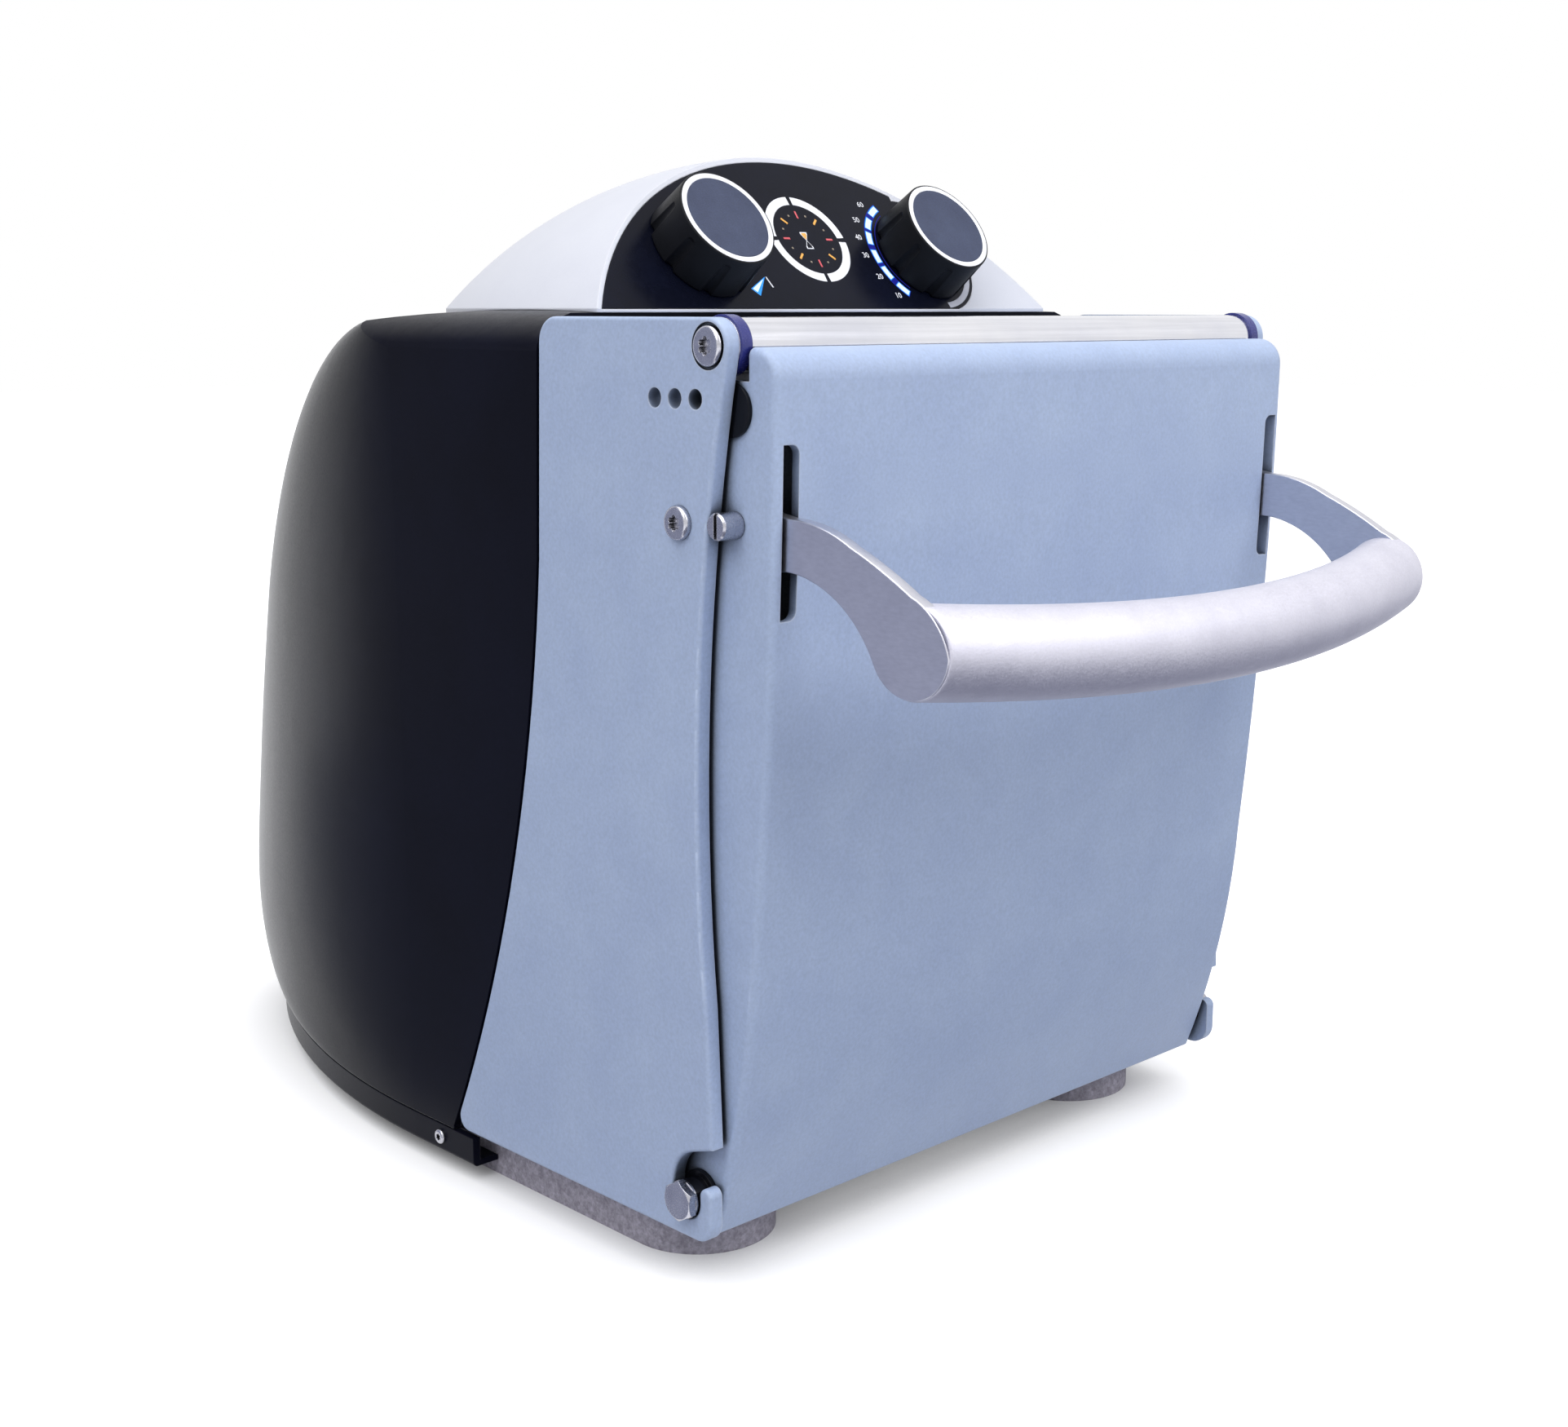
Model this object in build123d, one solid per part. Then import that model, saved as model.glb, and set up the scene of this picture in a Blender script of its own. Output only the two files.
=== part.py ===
from build123d import *
from math import cos, pi, radians, sin, sqrt
import os

os.makedirs("parts", exist_ok=True)

# Laboratory homogenizer, millimetres, +Z up, the door faces -Y.
# Places are measured from the top bar's axis (y) and the bench (z), then moved
# so that the origin is under the middle of the whole machine.

# Overall sizes
frame_half = 135.0          # outer face of a side frame from the centre plane
frame_wall = 5.0
frame_top_z = 304.5
frame_bottom_z = 18.2
rear_y = 386.0              # rearmost point of the rear cover
handle_reach = 66.3         # the grip's end section, in front of the bar axis
grip_bow = 23.2
grip_half_depth = 11.8
grip_half_height = 13.7
running_clearance = 0.05
part_gap = 0.3

# Top bar
bar_z = 296.3
bar_radius = 8.2
bar_ring_radius = 9.0
bar_ring_length = 4.4
bar_screw_radius = 3.0
bar_screw_head_radius = 6.0
bar_screw_head = 2.4
bar_screw_sink_radius = 6.9
bar_screw_sink = 1.2

# Door and its hinge
door_gap = 2.0              # between a side frame and the door's wing
door_wall = 3.0
door_front_y = -21.4
door_top_z = 296.0
door_bottom_z = 17.9
door_bottom_y = 8.1
door_top_radius = 9.0
door_back_y = 4.6
hinge_y = 13.0
hinge_z = 31.2
hinge_bolt_radius = 3.0
hinge_bush_radius = 5.95
hinge_collar_radius = 7.7
hinge_head_radius = 6.2
hinge_head_length = 3.8
hinge_ear_radius = 11.0
bush_clearance = 0.1
slot_bottom_z = 217.2
slot_top_z = 268.5
slot_inner_x = frame_half - 16.4
slot_corner = 3.0

# Handle and its pivots
pivot_y = -3.9
pivot_z = 244.6
pivot_radius = 3.0
pivot_head_radius = 4.1
pivot_head_length = 8.0
arm_wall = 4.5
arm_outer_x = frame_half - 11.0
boss_radius = 8.0
grip_end_z = 214.0
grip_drop = 5.7

# Latch studs and discs
stud_y = 13.0
stud_radius = 3.5
stud_screw_radius = 3.0
stud_head_radius = 5.3
stud_head_length = 2.4
latch_disc_y = -3.4
latch_disc_z = 277.9
latch_disc_radius = 7.85
latch_disc_wall = 1.2

# Side frame holes
row_hole_radius = 3.0
row_hole_y = 5.6
row_hole_z = 281.0
row_hole_pitch = 9.1
row_hole_count = 3

# Base, rails and lower cover
base_wall = 4.0
base_front_y = 30.0
base_rear_y = 338.0
base_rear_half = frame_half - 69.0
rail_x = frame_half - 37.1
rail_width = 52.0
rail_front_y = 22.6
rail_rear_y = 176.0
rear_foot_x = frame_half - 75.0
rear_foot_y = 296.0
rear_foot_radius = 15.0
band_bottom_z = 5.6
band_front_y = 128.5
seam_z = 16.8
seam_gap = 0.5
band_screw_y = 148.4
band_screw_z = 11.6
band_screw_radius = 2.7
band_screw_thread = 1.5

# Rear cover
cover_wall = 3.0
cover_gap = 0.6
tuck_radius = 39.0
taper_start_y = 165.0       # the sides run straight back to here
taper_radius = 406.0
taper_angle = 29.14
corner_radius = 44.7
cover_edge_width = 24.0     # the roof's long edges are rounded as a quarter ellipse
cover_edge_height = 13.0
window_half = 36.0
window_bottom_z = 34.0
window_top_z = 74.0

# Console
fascia_y = 78.8
fascia_z = 306.9
fascia_slope = 36.0         # knob axes rise this much above the horizontal
fascia_radius = 126.2
fascia_half = frame_half - 25.0
fascia_wall = 2.5
console_y = 112.4
console_half_width = frame_half - 19.0
console_half_depth = 130.0
console_rise = 54.0
console_wall = 3.0
inlay_depth = 0.8

# Knobs and what lights up round them
knob_a = 55.3
knob_b = 24.2
knob_height = 17.8
knob_top_radius = 18.9
knob_base_radius = 20.0
knob_ring_outer = 18.3
knob_ring_inner = 16.3
knob_lift = 0.6
knob_shaft_radius = 3.0
flute_count = 8
flute_radius = 2.4
light_radius = 24.0
light_width = 3.0
light_sweep = 14.5
light_angles = (124.0, 144.0, 162.0, 182.0, 200.0, 220.0)
crescent_outer = 24.0
crescent_inner = 21.6
crescent_start = -84.0
crescent_sweep = 60.0
dial_b = 30.3
dial_ring_inner = 15.2
dial_ring_outer = 18.7
dial_ring_sweep = 84.0

# Drive
crank_y = 132.0
crank_z = 166.0
crank_radius = 8.0
throw = 8.0
eccentric_radius = 16.5
eccentric_bearing_radius = 20.0
lever_slack = 0.2105        # share of the throw by which a sine leaves its straight line
liner_half = frame_half - 19.0
paddle_x = liner_half / 2 - 4.0
paddle_width = liner_half - 12.0
paddle_height = 190.0
paddle_wall = 12.0
paddle_front_y = 20.0
shaft_radius = 8.0
yoke_width = 14.0
yoke_rim = 7.0
bush_outer_radius = 11.0
bulkhead_y = 76.0
bulkhead_wall = 8.0
cheek_inner_x = frame_half - 63.0
crank_half = cheek_inner_x + 18.0
cheek_wall = 12.0
bearing_outer_radius = 16.0
drive_pulley_radius = 35.0
motor_pulley_radius = 12.0
pulley_inner_x = frame_half - 42.0
pulley_width = 12.0
belt_wall = 2.0
motor_y = 235.0
motor_z = 112.0
motor_radius = 42.0
motor_wall = 4.0
motor_front_x = 44.0
motor_rear_x = -80.0
stator_inner_radius = 29.5
rotor_gap = 0.6
motor_shaft_radius = 6.0

# Liner, electrics and inlet
liner_wall = 1.5
liner_front_y = 3.0
liner_bottom_z = 44.0
liner_top_z = bar_z - 10.3
supply_y = 308.0
supply_half = 50.0
supply_depth = 40.0
supply_height = 40.0
board_wall = 1.6
board_z = 84.0
panel_y = 350.0
panel_wall = 2.0
inlet_x = -8.0
inlet_z = 54.0
inlet_width = 30.0
inlet_height = 22.0
socket_width = 24.6
socket_height = 16.8
socket_depth = 16.0
switch_x = 23.0
switch_width = 15.0
switch_height = 22.0
rocker_radius = 9.0

wing_half = frame_half - frame_wall - door_gap
frame_inner = frame_half - frame_wall
slope = radians(fascia_slope)
rise_y = sin(slope)
rise_z = cos(slope)


nodes = {}


def save(solid, node):
    """Keep one node's solids until the whole machine is known."""
    nodes[node] = solid


def both(solid):
    """The right-hand piece with its left-hand twin."""
    return Compound([solid, mirror(solid, Plane.YZ)])


def along_x(radius, start_x, end_x, y, z):
    """A round bar along X."""
    bar = Cylinder(radius, end_x - start_x, align=(Align.CENTER, Align.CENTER, Align.MIN))
    return Pos(start_x, y, z) * Rot(0, 90, 0) * bar


def along_y(radius, start_y, end_y, x, z):
    """A round bar along Y."""
    bar = Cylinder(radius, end_y - start_y, align=(Align.CENTER, Align.CENTER, Align.MIN))
    return Pos(x, start_y, z) * Rot(-90, 0, 0) * bar


def block(x0, x1, y0, y1, z0, z1):
    """A box between two corners."""
    middle = Pos((x0 + x1) / 2, (y0 + y1) / 2, (z0 + z1) / 2)
    return middle * Box(x1 - x0, y1 - y0, z1 - z0)


def side_slab(curves, start_x, thickness):
    """A plate cut to a side-view outline, standing from start_x towards +X."""
    return extrude(Plane.YZ.offset(start_x) * make_face(curves), thickness)


def on_fascia(a, b, out):
    """A frame on the fascia: a across, b up the slope, out along its normal."""
    origin = (a, fascia_y + b * rise_y - out * rise_z, fascia_z + b * rise_z + out * rise_y)
    return Plane(origin=origin, x_dir=(1, 0, 0), z_dir=(0, -rise_z, rise_y))


socket_share = 0.48         # of a screw head's radius


def six_lobe(radius, depth):
    """The socket of a six-lobe screw, opening towards +Z, its mouth at z = 0."""
    lobe_radius = radius * 0.3
    socket = Cylinder(radius * 0.75, depth, align=(Align.CENTER, Align.CENTER, Align.MAX))
    for turn in range(6):
        lobe = Cylinder(lobe_radius, depth, align=(Align.CENTER, Align.CENTER, Align.MAX))
        socket += Rot(0, 0, turn * 60) * Pos(radius - lobe_radius, 0, 0) * lobe
    return socket


def button_screw(head_radius, head_length, shank_radius, shank_length):
    """A six-lobe button screw: the head stands over z = 0, the shank hangs below."""
    head = Cylinder(head_radius, head_length, align=(Align.CENTER, Align.CENTER, Align.MIN))
    head = fillet(head.edges().sort_by(Axis.Z)[-1], head_length * 0.6)
    socket_depth_here = head_length * 0.7
    head -= Pos(0, 0, head_length) * six_lobe(head_radius * socket_share, socket_depth_here)
    shank = Cylinder(shank_radius, shank_length, align=(Align.CENTER, Align.CENTER, Align.MAX))
    return head + shank


# Side frames
frame_rear_top_y = 79.9
frame_corner = 8.0
hook_width = 5.5
hook_top_z = 36.6
frame_rear_line = Line((frame_rear_top_y, frame_top_z), (82.7, 228.0))
frame_rear_arc = ThreePointArc((82.7, 228.0), (98.9, 128.9), (139.5, frame_bottom_z))
notch_radius = hinge_bush_radius + bush_clearance
notch_back_y = hinge_y + notch_radius
notch_front_y = hinge_y - notch_radius
hook_front_y = notch_front_y - hook_width


def frame_outline():
    """The side frame seen from the side, hook and all."""
    front_join = (-0.975 * bar_radius, bar_z - 0.232 * bar_radius)
    hook_side_z = hook_top_z - hook_width / 2
    curves = Line((0, bar_z + bar_radius), (frame_rear_top_y, frame_top_z))
    curves += frame_rear_line
    curves += frame_rear_arc
    curves += Line((139.5, frame_bottom_z), (hook_front_y, frame_bottom_z))
    curves += Line((hook_front_y, frame_bottom_z), (hook_front_y, hook_side_z))
    hook_tip = (hook_front_y + hook_width / 2, hook_top_z)
    curves += ThreePointArc((hook_front_y, hook_side_z), hook_tip, (notch_front_y, hook_side_z))
    curves += Line((notch_front_y, hook_side_z), (notch_front_y, hinge_z))
    notch_low = (hinge_y, hinge_z - notch_radius)
    curves += ThreePointArc((notch_front_y, hinge_z), notch_low, (notch_back_y, hinge_z))
    curves += Line((notch_back_y, hinge_z), (notch_back_y, 36.5))
    curves += ThreePointArc((notch_back_y, 36.5), (16.9, 42.6), (11.6, 46.9))
    curves += Line((11.6, 46.9), (0.9, 50.4))
    curves += Line((0.9, 50.4), (3.0, 95.0))
    curves += ThreePointArc((3.0, 95.0), (6.3, 165.0), front_join)
    curves += ThreePointArc(front_join, (-0.66 * bar_radius, bar_z + 0.751 * bar_radius), (0, bar_z + bar_radius))
    return curves


def rounded(face, point, radius):
    """Round the outline corner nearest to a point."""
    return fillet(face.vertices().sort_by_distance(point)[0], radius)


def side_frame():
    """The right-hand side frame with its holes."""
    face = make_face(frame_outline())
    face = rounded(face, (139.5, frame_bottom_z, 0), 5.0)
    face = rounded(face, (hook_front_y, frame_bottom_z, 0), 7.0)
    face = rounded(face, (frame_rear_top_y, frame_top_z, 0), frame_corner)
    plate = extrude(Plane.YZ.offset(frame_inner) * face, frame_wall)
    outer_edges = plate.faces().sort_by(Axis.X)[-1].edges()
    plate = fillet(outer_edges, 1.2)
    for step in range(row_hole_count):
        hole_y = row_hole_y + step * row_hole_pitch
        plate -= along_x(row_hole_radius, frame_inner - 1, frame_half + 1, hole_y, row_hole_z)
    screw_hole = stud_screw_radius + running_clearance
    plate -= along_x(screw_hole, frame_inner - 1, frame_half + 1, stud_y, pivot_z)
    plate -= along_x(bar_screw_radius + running_clearance, frame_inner - 1, frame_half + 1, 0, bar_z)
    sink_floor = frame_half - bar_screw_sink
    plate -= along_x(bar_screw_sink_radius, sink_floor, frame_half + 1, 0, bar_z)
    return plate


right_frame = side_frame()
save(right_frame, "side_frame_right")
save(mirror(right_frame, Plane.YZ), "side_frame_left")

# Top bar, its coloured end rings and its screws
bar_end = frame_inner
bar = along_x(bar_radius, -bar_end, bar_end, 0, bar_z)
bar_hole = bar_screw_radius + running_clearance
bar_thread = 16.0
for side in (-1, 1):
    inner = side * (bar_end - bar_thread)
    outer = side * (bar_end + 1)
    bar -= along_x(bar_hole, min(inner, outer), max(inner, outer), 0, bar_z)
save(bar, "top_bar")
ring = along_x(bar_ring_radius, bar_end - bar_ring_length, bar_end - part_gap, 0, bar_z)
ring -= along_x(bar_radius + running_clearance, bar_end - bar_ring_length - 1, bar_end, 0, bar_z)
save(both(ring), "bar_end_rings")
screw = button_screw(bar_screw_head_radius, bar_screw_head, bar_screw_radius, bar_thread)
screw = Pos(frame_half - bar_screw_sink, 0, bar_z) * Rot(0, 90, 0) * screw
save(both(screw), "bar_screws")

# Latch studs, each turned on the shank of a button screw
stud_length = frame_inner - (arm_outer_x - arm_wall) + 1.0
stud = button_screw(stud_head_radius, stud_head_length, stud_screw_radius, frame_wall)
stud_end = Cylinder(stud_radius, stud_length, align=(Align.CENTER, Align.CENTER, Align.MAX))
stud += Pos(0, 0, -frame_wall) * stud_end
save(both(Pos(frame_half, stud_y, pivot_z) * Rot(0, 90, 0) * stud), "latch_studs")

# Foot rails and rear feet
rail_half = rail_width / 2
rail_length = rail_rear_y - rail_front_y
rail_face = SlotOverall(rail_length, rail_width, rotation=90)
rail = extrude(rail_face, frame_bottom_z)
rail = Pos(rail_x, rail_front_y + rail_length / 2, 0) * rail
save(both(rail), "foot_rails")
foot = Cylinder(rear_foot_radius, frame_bottom_z, align=(Align.CENTER, Align.CENTER, Align.MIN))
save(both(Pos(rear_foot_x, rear_foot_y, 0) * foot), "rear_feet")

# Base plate
base_half = frame_inner - running_clearance
base_taper_y = 130.0
base_curves = Polyline(
    (-base_half, base_front_y),
    (base_half, base_front_y),
    (base_half, base_taper_y),
    (base_rear_half, base_rear_y),
    (-base_rear_half, base_rear_y),
    (-base_half, base_taper_y),
    close=True,
)
base_top_z = frame_bottom_z + base_wall
base = extrude(Plane.XY.offset(frame_bottom_z) * make_face(base_curves), base_wall)
save(base, "base_plate")


# Rear cover: plan outline at one height, then the side profile that gives its depth
def plan_outline(depth_y, inset):
    """Plan outline of the cover whose rear lies at depth_y, drawn inset from the skin."""
    share = (depth_y - taper_start_y) / (rear_y - taper_start_y)
    side_r = taper_radius * share
    corner_r = corner_radius * share
    turn = radians(taper_angle)
    side_x = frame_half - side_r * (1 - cos(turn))
    side_y = taper_start_y + side_r * sin(turn)
    corner_x = side_x - corner_r * cos(turn)
    corner_y = side_y - corner_r * sin(turn)
    half_turn = turn / 2
    side_in = side_r - inset
    corner_in = corner_r - inset
    far = corner_y + corner_in
    diagonal = (turn + pi / 2) / 2
    centre_x = frame_half - side_r

    def half(sign):
        start = (sign * (frame_half - inset), taper_start_y)
        middle = (sign * (centre_x + side_in * cos(half_turn)), taper_start_y + side_in * sin(half_turn))
        end = (sign * (centre_x + side_in * cos(turn)), taper_start_y + side_in * sin(turn))
        bend = (sign * (corner_x + corner_in * cos(diagonal)), corner_y + corner_in * sin(diagonal))
        stop = (sign * corner_x, far)
        return start, middle, end, bend, stop

    right = half(1)
    left = half(-1)
    front_y = 60.0
    curves = Line((-frame_half + inset, front_y), (frame_half - inset, front_y))
    curves += Line((frame_half - inset, front_y), right[0])
    curves += ThreePointArc(right[0], right[1], right[2])
    curves += ThreePointArc(right[2], right[3], right[4])
    curves += Line(right[4], left[4])
    curves += ThreePointArc(left[4], left[3], left[2])
    curves += ThreePointArc(left[2], left[1], left[0])
    curves += Line(left[0], (-frame_half + inset, front_y))
    return curves


tuck_y = rear_y - tuck_radius
tuck_z = seam_z + tuck_radius
lean = radians(12.5)
back_low = (rear_y - tuck_radius * (1 - cos(lean)), tuck_z + tuck_radius * sin(lean))
back_mid = (rear_y - 17.6, 124.6)
back_high = (rear_y - 42.7, 191.7)
shoulder_mid = (rear_y - 115.0, 273.8)
shoulder_top = (rear_y - 196.0, 302.6)
crown_front = (60.0, 304.4)
crown_mid = (120.0, 306.3)
crown_top_z = 306.8


def cover_body(inset):
    """The cover's outside, or its hollow when inset, up to its flat roof."""
    tuck = ThreePointArc(
        (tuck_y, seam_z + inset),
        (tuck_y + (tuck_radius - inset) * cos(radians(39)), tuck_z - (tuck_radius - inset) * sin(radians(39))),
        (back_low[0] - inset, back_low[1]),
    )
    back = ThreePointArc(
        (back_low[0] - inset, back_low[1]),
        (back_mid[0] - inset, back_mid[1]),
        (back_high[0] - inset, back_high[1]),
    )
    shoulder = ThreePointArc(
        (back_high[0] - inset, back_high[1]),
        (shoulder_mid[0] - inset * 0.7, shoulder_mid[1] - inset * 0.7),
        (shoulder_top[0] - inset, shoulder_top[1] - inset),
    )
    tuck_steps = 3
    back_steps = 3
    shoulder_steps = 6
    places = [tuck @ (n / tuck_steps) for n in range(tuck_steps)]
    places += [back @ (n / back_steps) for n in range(back_steps)]
    places += [shoulder @ (n / shoulder_steps) for n in range(shoulder_steps + 1)]
    rings = []
    if inset:
        rings.append(Plane.XY.offset(seam_z - inset) * make_face(plan_outline(tuck_y, inset)))
    for place in places:
        rings.append(Plane.XY.offset(place.Y) * make_face(plan_outline(place.X + inset, inset)))
    return loft(rings) + extrude(rings[-1], crown_top_z - shoulder_top[1])


# The roof's crown, seen from the side, and its rounded long edges, seen from the front
crown_curves = Line((crown_front[0], 0), crown_front)
crown_curves += ThreePointArc(crown_front, crown_mid, shoulder_top)
crown_curves += Polyline(shoulder_top, (rear_y + 1, shoulder_top[1]), (rear_y + 1, 0), (crown_front[0], 0))
crown_room = extrude(Plane.YZ * make_face(crown_curves), frame_half + 1, both=True)
arch_in_x = frame_half - cover_edge_width
arch_low_z = crown_top_z - cover_edge_height
arch_face = Pos(0, arch_low_z / 2) * Rectangle(2 * frame_half, arch_low_z)
arch_face += Pos(0, crown_top_z / 2) * Rectangle(2 * arch_in_x, crown_top_z)
for side in (-1, 1):
    arch_face += Pos(side * arch_in_x, arch_low_z) * Ellipse(cover_edge_width, cover_edge_height)
arch_room = extrude(Plane.XZ * arch_face, -rear_y - 10)
roof_room = crown_room & arch_room
cover_skin = cover_body(0) & roof_room
cover_hollow = cover_body(cover_wall) & Pos(0, 0, -cover_wall) * roof_room
cover_shell = cover_skin - cover_hollow

# The cover stops at the side frames, with an opening for the console's cables and the inlet
ahead_y = -200.0
above_z = 400.0
ahead = Line((ahead_y, above_z), (frame_rear_top_y, above_z))
ahead += Line((frame_rear_top_y, above_z), (frame_rear_top_y, frame_top_z))
ahead += frame_rear_line
ahead += frame_rear_arc
ahead += Polyline((139.5, frame_bottom_z), (139.5, 0), (ahead_y, 0), (ahead_y, above_z))
front_room = extrude(Plane.YZ * Pos(cover_gap, 0) * make_face(ahead), frame_half + 5, both=True)
rear_cover = cover_shell - front_room
cable_half = 60.0
rear_cover -= block(-cable_half, cable_half, 105, 175, 290, 320)
rear_cover -= block(-window_half, window_half, panel_y, rear_y + 5, window_bottom_z, window_top_z)
save(rear_cover, "rear_cover")

# Lower cover: a tray under the rear cover, open for the rails and the rear feet
seam_depth = tuck_y + 1.0
tray_top_z = seam_z - seam_gap
tray_face = Plane.XY.offset(band_bottom_z) * make_face(plan_outline(seam_depth, 0))
tray = extrude(tray_face, tray_top_z - band_bottom_z)
tray_floor_z = band_bottom_z + 2.0
tray_hollow = Plane.XY.offset(tray_floor_z) * make_face(plan_outline(seam_depth, cover_wall))
tray_hollow = extrude(tray_hollow, tray_top_z)
tray = fillet(tray.edges().group_by(Axis.Z)[0].filter_by(lambda edge: edge.center().Y > base_taper_y), 1.8)
tray -= tray_hollow & block(-200, 200, band_front_y - 1, 500, 0, 100)
tray -= block(-200, 200, -100, band_front_y, 0, 100)
rail_room = SlotOverall(rail_length + 2 * seam_gap, rail_width + 2 * seam_gap, rotation=90)
rail_room = Pos(rail_x, rail_front_y + rail_length / 2, 0) * extrude(rail_room, frame_bottom_z)
tray -= both(rail_room)
foot_room = Cylinder(rear_foot_radius + seam_gap, frame_bottom_z, align=(Align.CENTER, Align.CENTER, Align.MIN))
tray -= both(Pos(rear_foot_x, rear_foot_y, 0) * foot_room)
band_hole = along_x(
    band_screw_thread + running_clearance, frame_half - 10, frame_half + 1, band_screw_y, band_screw_z
)
tray -= both(band_hole)
save(tray, "lower_cover")
band_screw = button_screw(band_screw_radius, 1.4, band_screw_thread, 8.0)
save(both(Pos(frame_half, band_screw_y, band_screw_z) * Rot(0, 90, 0) * band_screw), "cover_screws")

# Top plate between the bar and the console
top_plate_wall = 3.0
bar_to_plate = 5.0
top_plate_z = frame_top_z - 0.5
top_plate_front = bar_ring_radius + bar_to_plate
top_plate_back = frame_rear_top_y - 2
top_plate_low = top_plate_z - top_plate_wall
top_plate = block(-base_half, base_half, top_plate_front, top_plate_back, top_plate_low, top_plate_z)
save(top_plate, "top_plate")


# Console
console_skirt = 20.0


def console_body(inset, fascia_inset):
    """The console's dome down to the cover, cut by its sloping face."""
    ball_radius = (console_half_width**2 + console_rise**2) / (2 * console_rise)
    stretch = console_half_depth / console_half_width
    ball = Pos(0, 0, console_rise - ball_radius) * Sphere(ball_radius - inset)
    dome = ball & Pos(0, 0, 200) * Box(400, 400, 400)
    dome += extrude(Circle(console_half_width - inset), -console_skirt)
    dome = Pos(0, console_y, fascia_z) * scale(dome, by=(1, stretch, 1))
    start_y = fascia_y + fascia_inset / rise_z
    reach = 100.0
    ahead_room = Polyline(
        (start_y, 280),
        (start_y, fascia_z),
        (start_y + reach * rise_y, fascia_z + reach * rise_z),
        (-100, above_z),
        (-100, 280),
        close=True,
    )
    return dome - extrude(Plane.YZ * make_face(ahead_room), 150, both=True)


def fascia_face(grow):
    """The dark panel: a low arch, its right end round the speed knob."""
    arch = Pos(0, -sqrt(fascia_radius**2 - fascia_half**2)) * Circle(fascia_radius + grow)
    above_base = Pos(0, 50 - grow) * Rectangle(400, 100)
    knob_edge = Pos(knob_a, knob_b) * Circle(light_radius + 1.2 + grow)
    left_part = Pos(knob_a - 200, 0) * Rectangle(400, 300)
    return arch & above_base & (left_part + knob_edge)


def arc_strip(inner, outer, start, sweep):
    """A flat strip of a ring, start and sweep in degrees."""
    begin = radians(start)
    middle = radians(start + sweep / 2)
    finish = radians(start + sweep)

    def at(radius, angle):
        return (radius * cos(angle), radius * sin(angle))

    curves = ThreePointArc(at(inner, begin), at(inner, middle), at(inner, finish))
    curves += Line(at(inner, finish), at(outer, finish))
    curves += ThreePointArc(at(outer, finish), at(outer, middle), at(outer, begin))
    curves += Line(at(outer, begin), at(inner, begin))
    return make_face(curves)


fascia_fit = 0.15
console = console_body(0, 0) - console_body(console_wall, fascia_wall + console_wall)
console -= extrude(on_fascia(0, 0, 0) * fascia_face(fascia_fit), -fascia_wall)
console -= extrude(on_fascia(0, 0, 0) * fascia_face(-4.0), -(fascia_wall + console_wall + 2))
console -= Pos(0, 0, part_gap / 2) * cover_skin
save(console, "console_housing")
speed_place = on_fascia(knob_a, knob_b, 0)
time_place = on_fascia(-knob_a, knob_b, 0)
dial_place = on_fascia(0, dial_b, 0)
light_in = light_radius - light_width / 2
light_out = light_radius + light_width / 2
light_strips = [arc_strip(light_in, light_out, angle - light_sweep / 2, light_sweep) for angle in light_angles]
lights = Compound([extrude(speed_place * strip, -inlay_depth) for strip in light_strips])
crescent_strip = arc_strip(crescent_inner, crescent_outer, crescent_start, crescent_sweep)
crescent = extrude(speed_place * crescent_strip, -inlay_depth)
ring_strips = [arc_strip(dial_ring_inner, dial_ring_outer, 3 + 90 * n, dial_ring_sweep) for n in range(4)]
dial_ring = Compound([extrude(dial_place * strip, -inlay_depth) for strip in ring_strips])
dial_face = extrude(dial_place * Circle(dial_ring_inner - running_clearance), -inlay_depth)
pointer_face = make_face(Polyline((-30.9, 13.4), (-40.1, 8.3), (-37.2, 5.3), close=True))
pointer = extrude(on_fascia(0, 0, 0) * pointer_face, -inlay_depth)
fascia = extrude(on_fascia(0, 0, 0) * fascia_face(0), -fascia_wall)
for inlay in (lights, crescent, dial_ring, dial_face, pointer):
    fascia -= inlay
encoder_bush_radius = 4.5
for place in (speed_place, time_place):
    fascia -= extrude(place * Circle(encoder_bush_radius + running_clearance), fascia_wall + 1, both=True)
fascia -= Pos(0, 0, part_gap / 2) * cover_skin
save(fascia, "console_fascia")
save(lights, "speed_lights")
save(crescent, "fascia_crescent")
save(dial_ring, "dial_ring")
save(dial_face, "dial_face")
save(pointer, "time_pointer_light")

# Knobs with their encoders
encoder_depth = 9.0
encoder_front = 3.0
encoder_half = 6.5
shaft_top = 12.0
knob_body_top = knob_height - knob_lift


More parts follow.
